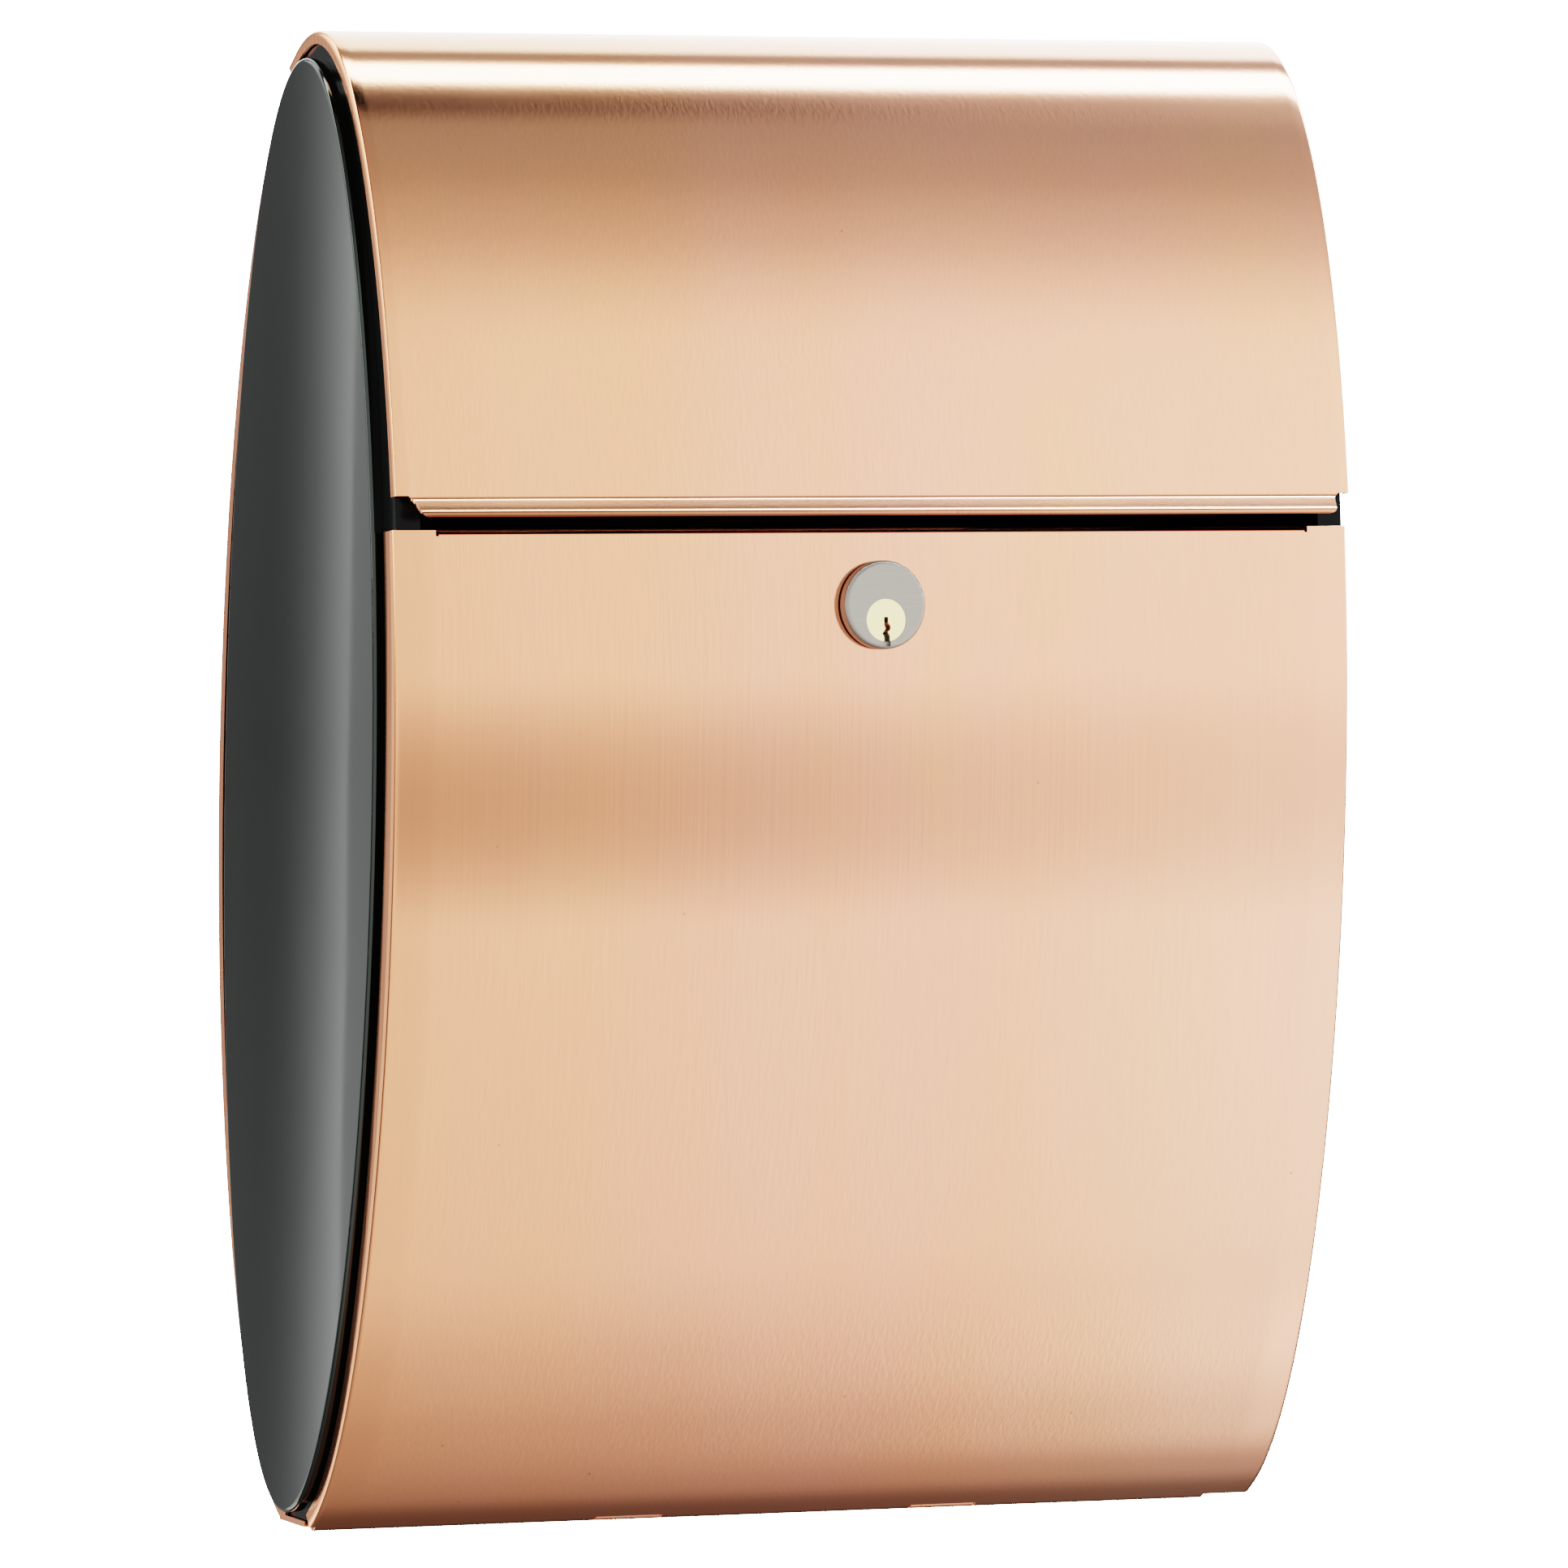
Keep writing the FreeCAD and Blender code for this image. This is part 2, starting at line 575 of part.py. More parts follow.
def slot_rail():
    """Cross rail under the mail slot: an upturned channel with end plates."""
    front = f"{CENTRE} - sizes.slot_rail_front"
    rear = f"({front}) + sizes.slot_rail_depth"
    low = "sizes.slot_rail_top - sizes.slot_rail_height"
    y, z = cap_screw_points()[0]
    body = doc.addObject("PartDesign::Body", "slot_rail")
    profile = sketch_in(body, "slot_rail_profile", "YZ_Plane", "-sizes.boss_inner")
    draw_polygon(profile, [
        (front, low), (front, "sizes.slot_rail_top"), (rear, "sizes.slot_rail_top"),
        (rear, low), (f"({rear}) - sizes.rail_sheet", low),
        (f"({rear}) - sizes.rail_sheet", "sizes.slot_rail_top - sizes.rail_sheet"),
        (f"({front}) + sizes.rail_sheet", "sizes.slot_rail_top - sizes.rail_sheet"),
        (f"({front}) + sizes.rail_sheet", low)])
    pad(body, profile, "2 * sizes.boss_inner")
    for name, start in (("slot_rail_left_end", "-sizes.boss_inner"),
                        ("slot_rail_right_end", "sizes.boss_inner - sizes.rail_sheet")):
        plate = sketch_in(body, name, "YZ_Plane", start)
        draw_rectangle(plate, (front, rear), (low, "sizes.slot_rail_top"))
        pad(body, plate, "sizes.rail_sheet")
    holes = sketch_in(body, "slot_rail_holes", "YZ_Plane", "sizes.boss_inner + 1")
    draw_circle(holes, "sizes.screw_radius + sizes.hole_play", y, z)
    pocket(body, holes, "2 * sizes.boss_inner + 2")
    relief = sketch_in(body, "slot_rail_lock_relief", "XZ_Plane", f"-({front}) + 1")
    room = "sizes.nut_corner + 2.7"
    draw_rectangle(relief, (f"-({room})", room),
                   (f"({low}) - 1", "sizes.lock_up + sizes.lock_barrel + 1.5"))
    pocket(body, relief, "sizes.rail_sheet + 2")
    keep(body, "slot_rail")


def rear_rails():
    """Channels behind the mail space that carry the wall screws."""
    half = "sizes.rear_rail_height / 2"
    middle = "sizes.hole_pitch_up / 2"
    y, z = cap_screw_points()[1]
    front = f"{CENTRE} + sizes.rear_rail_front"
    block = box("rear_rail_block", ("-sizes.boss_inner", "sizes.boss_inner"), (front, "5"),
                (f"{middle} - {half}", f"{middle} + {half}"))
    hollow = box("rear_rail_hollow",
                 ("-sizes.boss_inner + sizes.rail_sheet", "sizes.boss_inner - sizes.rail_sheet"),
                 (f"{front} + sizes.rail_sheet", "10"),
                 (f"{middle} - {half} + sizes.rail_sheet",
                  f"{middle} + {half} - sizes.rail_sheet"))
    bound = inset_bar("rear_rail_bound", "sizes.sheet + sizes.shell_gap", "sizes.boss_inner")
    channel = common("rear_rail_channel", cut("rear_rail_open", block, [hollow]), bound)
    bores = fixing_bores("rear_rail_fixing", "sizes.hole_radius")
    bores.append(cylinder("rear_rail_screw_hole", "sizes.screw_radius + sizes.hole_play", FAR,
                          "-200", y, z, ALONG_X))
    upper = cut("rear_rail_shape", channel, bores)
    keep(upper, "rear_rail_upper")
    keep(mirrored("rear_rail_low_shape", upper, Vector(0, 0, 1)), "rear_rail_lower")


def tie_rod():
    """Round rod across the top, with a spigot in each end cap."""
    body = doc.addObject("PartDesign::Body", "tie_rod")
    thick = sketch_in(body, "tie_rod_section", "YZ_Plane", "-sizes.boss_inner + 0.1")
    draw_circle(thick, "sizes.tie_radius", *TIE_POINT)
    pad(body, thick, "2 * sizes.boss_inner - 0.2")
    thin = sketch_in(body, "tie_rod_spigot", "YZ_Plane", "-sizes.boss_inner - sizes.screw_length")
    draw_circle(thin, "sizes.screw_radius", *TIE_POINT)
    pad(body, thin, "2 * (sizes.boss_inner + sizes.screw_length)")
    keep(body, "top_tie_rod")


def mail_guard():
    """Folded plate behind the slot rail that keeps hands off the mail."""
    rear = f"{CENTRE} - sizes.slot_rail_front + sizes.slot_rail_depth + sizes.slack"
    top = "sizes.slot_rail_top"
    fold = "sizes.slot_rail_top - sizes.slot_rail_height"
    body = doc.addObject("PartDesign::Body", "mail_guard")
    profile = sketch_in(body, "mail_guard_profile", "YZ_Plane", "-sizes.boss_inner + 1")
    low = f"{fold} - sizes.guard_drop"
    lean = f"({rear}) + sizes.guard_lean"
    draw_polygon(profile, [
        (rear, top), (rear, fold), (lean, low),
        (f"{lean} + sizes.guard_sheet", f"{low} + 0.7 * sizes.guard_sheet"),
        (f"({rear}) + sizes.guard_sheet", f"{fold} + 0.7 * sizes.guard_sheet"),
        (f"({rear}) + sizes.guard_sheet", top)])
    pad(body, profile, "2 * sizes.boss_inner - 2")
    keep(body, "mail_guard")


def guard_rivets():
    """Three blind rivets that hold the mail guard on the slot rail."""
    rear = f"{CENTRE} - sizes.slot_rail_front + sizes.slot_rail_depth"
    level = "sizes.slot_rail_top - sizes.slot_rail_height / 2"
    tools = []
    rivets = []
    under_head = f"({rear}) + sizes.guard_sheet + 2 * sizes.slack"
    over_tail = f"({rear}) - sizes.rail_sheet - sizes.slack"
    for number in (1, 2, 3):
        across = f"({number} - 2) * sizes.rivet_pitch"
        shank = cylinder(f"rivet_shank_{number}", "sizes.rivet_radius",
                         f"({under_head}) - ({over_tail}) + 0.4", across,
                         f"({over_tail}) - 0.2", level, ALONG_Y)
        head = cylinder(f"rivet_head_{number}", "sizes.rivet_head", "1", across,
                        under_head, level, ALONG_Y)
        tail = cylinder(f"rivet_tail_{number}", "sizes.rivet_tail", "1", across,
                        f"({over_tail}) - 1", level, ALONG_Y)
        rivets.append(fuse(f"rivet_{number}", [shank, head, tail]))
        tools.append(cylinder(f"rivet_bore_{number}", "sizes.rivet_radius + sizes.slack", "6",
                              across, f"({rear}) - 3", level, ALONG_Y))
    keep(group("guard_rivets", rivets), "guard_rivets")
    return tools


def rail_screws():
    """Pan head screws from inside the rails into the end caps' bosses."""
    screws = []
    for y, z in cap_screw_points():
        for side, facing in ((-1, Rotation(Vector(0, 1, 0), -90)), (1, ALONG_X)):
            number = len(screws) + 1
            inside = "sizes.boss_inner - sizes.rail_sheet - sizes.slack"
            shank = cylinder(f"screw_shank_{number}", "sizes.screw_radius",
                             "sizes.screw_length + sizes.rail_sheet",
                             f"{side} * ({inside})", y, z, facing)
            head = cylinder(f"screw_head_{number}", "sizes.screw_head", "sizes.screw_cap",
                            f"{side} * ({inside} - sizes.screw_cap)", y, z, facing)
            screws.append(fuse(f"screw_{number}", [shank, head]))
    keep(group("rail_screws", screws), "rail_screws")


# ---- buffers and wall spacers -------------------------------------------------

def lid_buffer_pin(name, radius):
    """Pin along Y through the right cap's wall, short of the lid's inside."""
    level = "sizes.lid_buffer_up"
    front = (f"{CENTRE} - (sizes.half_depth + sizes.lid_over - sizes.sheet)"
             f" * sqrt(1 - ({level} / (sizes.half_height + sizes.lid_over - sizes.sheet))^2)"
             f" - 1.15")
    return cylinder(name, radius, "5.5", "sizes.cap_face - sizes.cap_plate - 2.6",
                    front, level, ALONG_Y)


def buffers():
    """Rubber buffers: two for the lid in the caps, two for the door on the rail."""
    right = lid_buffer_pin("lid_buffer_right", "sizes.lid_buffer")
    left = mirrored("lid_buffer_left", right, Vector(1, 0, 0))
    keep(group("lid_buffers", [right, left]), "lid_buffers")
    level = "sizes.slot_rail_top - sizes.slot_rail_height / 2"
    pads = []
    for side in (-1, 1):
        pads.append(cylinder(f"door_buffer_{len(pads) + 1}", "sizes.door_buffer", "2.7",
                             f"{side} * sizes.door_buffer_place",
                             f"{CENTRE} - sizes.slot_rail_front - 2.7 - sizes.slack",
                             level, ALONG_Y))
    keep(group("door_buffers", pads), "door_buffers")


def wall_spacers():
    """Four sleeves that stand the curved back off the wall."""
    body_oval = inset_bar("spacer_oval", "-sizes.slack", HALF)
    sleeves = []
    for number, bore in enumerate(fixing_bores("spacer_bore", "sizes.hole_radius"), start=1):
        sleeve = cylinder(f"spacer_sleeve_{number}", "sizes.spacer_radius", "22",
                          "0", "-22", "0", ALONG_Y)
        bind(sleeve, {"Placement.Base.x": f"spacer_bore_{number}.Placement.Base.x",
                      "Placement.Base.z": f"spacer_bore_{number}.Placement.Base.z"})
        seated = cut(f"spacer_seated_{number}", sleeve, [body_oval])
        sleeves.append(cut(f"spacer_{number}", seated, [bore]))
    keep(group("wall_spacers", sleeves), "wall_spacers")


# ---- lock ----------------------------------------------------------------------

def lock_frame():
    """Placement of the lock: on the door's face, square to it, -Y outwards."""
    depth = size("sizes.half_depth")
    height = size("sizes.half_height")
    up = size("sizes.lock_up")
    out = depth * math.sqrt(1 - (up / height) ** 2)
    tilt = math.degrees(math.atan2(up / height ** 2, out / depth ** 2))
    return Placement(Vector(0, size(CENTRE) - out, up), Rotation(Vector(1, 0, 0), -tilt))


def lock_bore(name, radius):
    """Bore through the door on the lock's axis."""
    bore = doc.addObject("Part::Cylinder", name)
    bind(bore, {"Radius": radius, "Height": "30"})
    bore.Placement = lock_frame().multiply(Placement(Vector(0, -15, 0), ALONG_Y))
    return bore


def lock_body_node():
    """Round rose and threaded barrel, bored for the plug below its centre."""
    body = doc.addObject("PartDesign::Body", "lock_body")
    rose = sketch_in(body, "lock_rose_outline", "XZ_Plane", "sizes.gasket")
    draw_circle(rose, "sizes.lock_radius")
    disc = pad(body, rose, "sizes.lock_rose")
    doc.recompute()
    front = [f"Edge{number}" for number, edge in enumerate(disc.Shape.Edges, start=1)
             if edge.BoundBox.YMax < -size("sizes.gasket") - 1]
    bevel = body.newObject("PartDesign::Fillet", "lock_rose_edge")
    bevel.Base = (disc, front)
    bind(bevel, {"Radius": "sizes.lock_edge"})
    barrel = sketch_in(body, "lock_barrel_outline", "XZ_Plane", "-sizes.lock_reach")
    draw_circle(barrel, "sizes.lock_barrel")
    pad(body, barrel, "sizes.lock_reach + sizes.gasket + 0.5")
    seat = sketch_in(body, "lock_plug_seat", "XZ_Plane", "sizes.gasket + sizes.lock_rose + 1")
    draw_circle(seat, "sizes.plug_radius + sizes.plug_play", "0", "-sizes.plug_drop")
    pocket(body, seat, "sizes.plug_face + 1")
    core = sketch_in(body, "lock_core_bore", "XZ_Plane", "sizes.gasket + sizes.lock_rose + 1")
    draw_circle(core, "sizes.plug_core + sizes.plug_play", "0", "-sizes.plug_drop")
    pocket(body, core, "30")
    slot = sketch_in(body, "lock_key_relief", "XZ_Plane", "sizes.gasket + sizes.lock_rose + 1")
    draw_rectangle(slot, ("-1.25", "1.25"),
                   ("-sizes.plug_drop - sizes.plug_radius - 1.4", "-sizes.plug_drop - 4"))
    pocket(body, slot, "2.4")
    body.Placement = lock_frame()
    keep(body, "lock_body")


def lock_gasket():
    body = doc.addObject("PartDesign::Body", "lock_gasket")
    ring = sketch_in(body, "lock_gasket_ring", "XZ_Plane", "0.02")
    draw_circle(ring, "sizes.lock_radius - 0.4")
    draw_circle(ring, "sizes.lock_barrel + 0.1")
    pad(body, ring, "sizes.gasket - 0.04")
    body.Placement = lock_frame()
    keep(body, "lock_gasket")


def lock_nut():
    body = doc.addObject("PartDesign::Body", "lock_nut")
    outline = sketch_in(body, "lock_nut_outline", "XZ_Plane",
                        "-sizes.sheet - sizes.nut_height - 0.5")
    draw_hexagon(outline, "sizes.nut_corner")
    pad(body, outline, "sizes.nut_height")
    bore = sketch_in(body, "lock_nut_bore", "XZ_Plane", "1")
    draw_circle(bore, "sizes.lock_barrel + 0.03")
    pocket(body, bore, "10")
    body.Placement = lock_frame()
    keep(body, "lock_nut")


def plug_frame():
    """Placement of the plug and cam, on the plug's own axis."""
    return lock_frame().multiply(Placement(Vector(0, 0, -size("sizes.plug_drop")), Rotation()))


def lock_plug():
    """Plug with a stepped keyway, a long core and a square tail."""
    body = doc.addObject("PartDesign::Body", "lock_plug")
    top = "sizes.gasket + sizes.lock_rose"
    face = sketch_in(body, "plug_face_outline", "XZ_Plane", f"{top} - sizes.plug_face + 0.05")
    draw_circle(face, "sizes.plug_radius")
    pad(body, face, "sizes.plug_face - 0.15")
    core = sketch_in(body, "plug_core_outline", "XZ_Plane", "-sizes.lock_reach - 0.3")
    draw_circle(core, "sizes.plug_core")
    pad(body, core, f"sizes.lock_reach + 0.3 + {top} - 1")
    tail = sketch_in(body, "plug_tail_outline", "XZ_Plane",
                     "-sizes.lock_reach - sizes.cam_sheet - 0.3")
    side = "sizes.tail_square / 2"
    draw_rectangle(tail, (f"-{side}", side), (f"-{side}", side))
    pad(body, tail, "sizes.cam_sheet + 0.2")
    keyway = sketch_in(body, "plug_keyway", "XZ_Plane", f"{top} + 1")
    draw_polygon(keyway, [
        ("-0.6", "0.9"), ("0.6", "0.9"), ("0.6", "-0.6"), ("1.3", "-1.6"), ("1.3", "-2.6"),
        ("0.5", "-3.4"), ("1.1", "-4.6"), ("1.1", "-7"), ("-0.7", "-7"), ("-0.7", "-4.8"),
        ("-1.2", "-3.8"), ("-0.2", "-2.4"), ("-0.6", "-1.4")])
    pocket(body, keyway, "7")
    hole = sketch_in(body, "plug_screw_hole", "XZ_Plane", "-sizes.lock_reach - 4")
    draw_circle(hole, "sizes.cam_screw_radius + sizes.slack")
    pocket(body, hole, "9", backwards=True)
    body.Placement = plug_frame()
    keep(body, "lock_plug")


def lock_cam():
    """Lever behind the lock, level and pointing to +X when the door is free."""
    body = doc.addObject("PartDesign::Body", "lock_cam")
    half = "sizes.cam_width / 2"
    outline = sketch_in(body, "cam_outline", "XZ_Plane",
                        "-sizes.lock_reach - sizes.cam_sheet - 0.5")
    draw_polygon(outline, [
        (f"-{half} + 2", f"-{half}"), (f"{half}", f"-{half}"),
        ("sizes.cam_reach - 2", f"-{half} + 1.5"), ("sizes.cam_reach", f"-{half} + 3.5"),
        ("sizes.cam_reach", f"{half} - 3.5"), ("sizes.cam_reach - 2", f"{half} - 1.5"),
        (f"{half}", half), (f"-{half} + 2", half), (f"-{half}", f"{half} - 2"),
        (f"-{half}", f"-{half} + 2")])
    pad(body, outline, "sizes.cam_sheet")
    square = sketch_in(body, "cam_square", "XZ_Plane", "0")
    side = "sizes.tail_square / 2 + sizes.slack"
    draw_rectangle(square, (f"-({side})", side), (f"-({side})", side))
    pocket(body, square, "30")
    body.Placement = plug_frame()
    keep(body, "lock_cam")


def cam_screw():
    """Screw and broad head that hold the cam on the plug's tail."""
    body = doc.addObject("PartDesign::Body", "cam_screw")
    head = sketch_in(body, "cam_screw_head", "XZ_Plane",
                     "-sizes.lock_reach - sizes.cam_sheet - 2.6")
    draw_circle(head, "sizes.cam_screw_head")
    pad(body, head, "2")
    shank = sketch_in(body, "cam_screw_shank", "XZ_Plane",
                      "-sizes.lock_reach - sizes.cam_sheet - 1")
    draw_circle(shank, "sizes.cam_screw_radius")
    pad(body, shank, "5.5")
    drive = sketch_in(body, "cam_screw_drive", "XZ_Plane",
                      "-sizes.lock_reach - sizes.cam_sheet - 3")
    draw_rectangle(drive, ("-3", "3"), ("-0.5", "0.5"))
    pocket(body, drive, "1.2", backwards=True)
    body.Placement = plug_frame()
    keep(body, "cam_screw")


# ---- assembly ------------------------------------------------------------------

def bore_for_rivets(tools):
    """Open the rivet holes in the slot rail and the mail guard."""
    for label in ("slot_rail", "mail_guard"):
        number = next(i for i, item in enumerate(nodes) if item.Label == label)
        solid = nodes[number]
        solid.Label = label + "_blank"
        nodes[number] = cut(label + "_bored", solid, tools)
        nodes[number].Label = label


def check(thing):
    """Stop if an object failed, or if a sub-part has no sound shape."""
    if "Invalid" in thing.State or "Error" in thing.State:
        raise RuntimeError(thing.Name + " failed to build")


back_shell()
lid_shell()
door_shell()
end_caps()
side_panels()
slot_rail()
rear_rails()
tie_rod()
mail_guard()
bore_for_rivets(guard_rivets())
rail_screws()
buffers()
wall_spacers()
hinge_rod("lid_hinge_rod", "-sizes.lid_barrel_end", "sizes.lid_barrel_end", LID_Y, LID_Z)
hinge_rod("door_hinge_rod", f"-({HALF}) + 1", "sizes.barrel_end + 1.5", DOOR_Y, DOOR_Z)
lock_body_node()
lock_gasket()
lock_nut()
lock_plug()
lock_cam()
cam_screw()

doc.recompute()
for thing in doc.Objects:
    check(thing)
for thing in nodes:
    if thing.Shape.isNull() or not thing.Shape.isValid():
        raise RuntimeError(thing.Label + " has no sound shape")

os.makedirs("parts", exist_ok=True)
for thing in nodes:
    thing.Shape.exportStep(f"parts/{thing.Label}.step")
    solids = len(thing.Shape.Solids)
    print(f"{thing.Label}: {solids} solid(s), {thing.Shape.Volume / 1000:.2f} cm3")
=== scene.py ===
import json
import math
import bmesh
import bpy
from mathutils import Matrix, Vector, noise


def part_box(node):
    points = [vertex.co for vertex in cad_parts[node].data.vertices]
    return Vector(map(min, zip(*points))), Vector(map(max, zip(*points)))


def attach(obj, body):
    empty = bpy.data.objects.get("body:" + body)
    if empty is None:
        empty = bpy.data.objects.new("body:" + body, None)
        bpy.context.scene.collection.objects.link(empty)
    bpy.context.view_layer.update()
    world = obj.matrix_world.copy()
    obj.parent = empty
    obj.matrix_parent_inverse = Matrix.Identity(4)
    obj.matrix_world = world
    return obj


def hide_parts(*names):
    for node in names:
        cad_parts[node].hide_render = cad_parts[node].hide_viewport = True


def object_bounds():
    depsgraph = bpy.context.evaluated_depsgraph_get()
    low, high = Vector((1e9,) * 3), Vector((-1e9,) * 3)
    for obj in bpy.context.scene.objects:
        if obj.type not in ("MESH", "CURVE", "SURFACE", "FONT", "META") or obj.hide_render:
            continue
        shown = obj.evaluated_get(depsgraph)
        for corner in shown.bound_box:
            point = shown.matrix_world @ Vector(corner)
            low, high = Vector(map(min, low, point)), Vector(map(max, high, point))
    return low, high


# Wall mounted mailbox in brushed copper with glossy black ends.
# Metres, +Z up, the wall at y = 0 and the front facing -Y.

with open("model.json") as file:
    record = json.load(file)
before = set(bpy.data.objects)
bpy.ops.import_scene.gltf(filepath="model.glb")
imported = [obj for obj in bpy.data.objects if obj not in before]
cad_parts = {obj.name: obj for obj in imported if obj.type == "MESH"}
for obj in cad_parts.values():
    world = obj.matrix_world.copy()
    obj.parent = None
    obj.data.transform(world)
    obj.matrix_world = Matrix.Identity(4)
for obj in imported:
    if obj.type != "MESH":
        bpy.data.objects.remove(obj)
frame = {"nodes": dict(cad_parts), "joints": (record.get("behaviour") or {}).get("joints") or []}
cad_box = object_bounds()
nodes = frame["nodes"]


def joint_named(name):
    return next(item for item in frame["joints"] if item["name"] == name)


FINISHES = {
    "copper": ["lid_shell", "door_shell", "back_shell"],
    "black_gloss": ["left_side_panel", "right_side_panel"],
    "black_moulding": ["left_end_cap", "right_end_cap"],
    "rail_paint": ["slot_rail", "mail_guard"],
    "zinc": ["rear_rail_upper", "rear_rail_lower", "top_tie_rod", "guard_rivets",
             "rail_screws", "lid_hinge_rod", "door_hinge_rod", "lock_nut", "cam_screw",
             "lock_cam"],
    "nickel": ["lock_body"],
    "brass": ["lock_plug"],
    "rubber": ["lid_buffers", "door_buffers", "lock_gasket"],
    "spacer_plastic": ["wall_spacers"],
}


# ---- camera, floor and light ---------------------------------------------------

CAMERA_PLACE = Vector((-1.52626, -3.51552, 0.27181))
CAMERA_YAW = 0.4171
CAMERA_PITCH = -0.0722
CAMERA_ROLL = 0.0186
LENS_MM = 298.34
SENSOR_MM = 36.0
FLOOR_BELOW = 0.35
FLOOR_SIZE = 30
PURE_WHITE = 16.0


def make_camera():
    """Long lens, a little above the mailbox and to its left."""
    level = Vector((math.sin(CAMERA_YAW), math.cos(CAMERA_YAW), 0))
    side = Vector((math.cos(CAMERA_YAW), -math.sin(CAMERA_YAW), 0))
    up = Vector((0, 0, 1))
    ahead = math.cos(CAMERA_PITCH) * level + math.sin(CAMERA_PITCH) * up
    over = math.cos(CAMERA_PITCH) * up - math.sin(CAMERA_PITCH) * level
    right = math.cos(CAMERA_ROLL) * side + math.sin(CAMERA_ROLL) * over
    top = math.cos(CAMERA_ROLL) * over - math.sin(CAMERA_ROLL) * side
    data = bpy.data.cameras.new("camera")
    data.lens = LENS_MM
    data.sensor_width = SENSOR_MM
    data.clip_end = 50
    camera = bpy.data.objects.new("camera", data)
    turn = Matrix((right, top, -ahead)).transposed().to_4x4()
    camera.matrix_world = Matrix.Translation(CAMERA_PLACE) @ turn
    bpy.context.scene.collection.objects.link(camera)
    bpy.context.scene.camera = camera


class Graph:
    """Short hand for building a node tree."""

    def __init__(self, tree):
        self.tree = tree
        self.tree.nodes.clear()

    def add(self, kind, inputs=None, **settings):
        node = self.tree.nodes.new(kind)
        for name, value in settings.items():
            setattr(node, name, value)
        for name, value in (inputs or {}).items():
            self.feed(node.inputs[name], value)
        return node

    def feed(self, socket, value):
        if isinstance(value, bpy.types.NodeSocket):
            self.tree.links.new(value, socket)
        else:
            socket.default_value = value

    def math(self, operation, first, second=0.0, clamp=False):
        node = self.add("ShaderNodeMath", {0: first, 1: second}, operation=operation,
                        use_clamp=clamp)
        return node.outputs[0]

    def affine(self, value, scale, offset):
        """value * scale + offset."""
        node = self.add("ShaderNodeMath", {0: value, 1: scale, 2: offset},
                        operation="MULTIPLY_ADD")
        return node.outputs[0]

    def levels(self, share, low, high):
        """low where share is 0 and high where it is 1."""
        return self.affine(share, high - low, low)

    def ramp(self, value, stops, interpolation="LINEAR"):
        """Colour ramp through (place, colour or grey level) stops."""
        node = self.add("ShaderNodeValToRGB", {"Fac": value})
        ramp = node.color_ramp
        ramp.interpolation = interpolation
        ramp.elements.remove(ramp.elements[0])
        for count, (place, level) in enumerate(stops):
            element = ramp.elements.new(place) if count else ramp.elements[0]
            element.position = place
            grey = (level, level, level)
            element.color = (*(level if isinstance(level, tuple) else grey), 1)
        return node.outputs["Color"]

    def smooth(self, value, low, high, course="SMOOTHSTEP"):
        """0 up to low, 1 from high on, and the course named in between."""
        node = self.add("ShaderNodeMapRange", {"Value": value, "From Min": low,
                                               "From Max": high},
                        interpolation_type=course)
        return node.outputs["Result"]

    def between(self, value, low, low_full, high_full, high):
        """1 from low_full to high_full, fading to 0 at low and high."""
        return self.math("MULTIPLY", self.smooth(value, low, low_full),
                         self.smooth(value, high, high_full))

    def noise(self, place, scale, stretch=(1, 1, 1), detail=2.0, roughness=0.5):
        spread = self.add("ShaderNodeMapping", {"Vector": place, "Scale": stretch})
        node = self.add("ShaderNodeTexNoise", {"Vector": spread.outputs[0], "Scale": scale,
                                               "Detail": detail, "Roughness": roughness})
        return node.outputs["Fac"]

    def mix(self, share, first, second, blend="MIX"):
        node = self.add("ShaderNodeMix", data_type="RGBA", blend_type=blend)
        self.feed(node.inputs[0], share)
        self.feed(node.inputs[6], first)
        self.feed(node.inputs[7], second)
        return node.outputs[2]


# Brightness of the studio seen at each angle round the X axis, in degrees:
# 0 is level in front of the mailbox, 90 overhead and 180 level behind it.
STUDIO_BRIGHTNESS = [
    (-180, 0.60), (-132, 0.07), (-122, 0.08), (-108, 0.20), (-92, 0.42), (-60, 0.66),
    (-46, 0.95), (-35, 1.50), (-20, 1.62), (16, 1.82), (27, 1.80), (37, 0.92),
    (48, 0.56), (62, 0.46), (78, 0.46), (82, 11.0), (92.6, 11.5), (95.6, 1.40),
    (98.5, 0.34), (107, 0.38), (114, 3.30), (150, 4.20), (180, 3.80),
]
BRIGHTEST = 12.0
# Colour of that light, from the right-hand side only: neutral in front and below, cooler
# from overhead to level behind. TINT_SCALE brings its parts to 1 or less for the ramp.
STUDIO_TINT = [
    (-180, (1.0, 1.0, 1.0)), (30, (1.0, 1.0, 1.0)), (48, (0.94, 1.05, 1.08)),
    (60, (0.90, 1.08, 1.16)), (79, (0.88, 1.05, 1.12)), (83, (1.0, 1.35, 1.5)),
    (91, (1.0, 1.35, 1.5)), (97, (0.94, 1.1, 1.2)), (115, (0.92, 1.25, 1.40)),
    (180, (0.92, 1.25, 1.40)),
]
TINT_SCALE = 1.5
# The other lights. ACROSS is a span of the direction's part towards the right, over which
# a light fades in, and four ANGLES are where one starts, is full, is still full and ends.
TINT_ACROSS = (0.1, 0.3)
SIDES_ACROSS = (0.370, 0.440)
SIDE_LEVELS = (0.80, 1.18)
FLAG_ANGLES = (61, 68, 78, 82)
FLAG_ACROSS = (0.370, 0.435)
FLAG_CHANGE = (-1.10, 0.35)
LOW_CARD_ANGLES = (-86, -68, -50, -36)
LOW_CARD_ACROSS = (0.410, 0.434)
LOW_CARD_LEVEL = 1.8
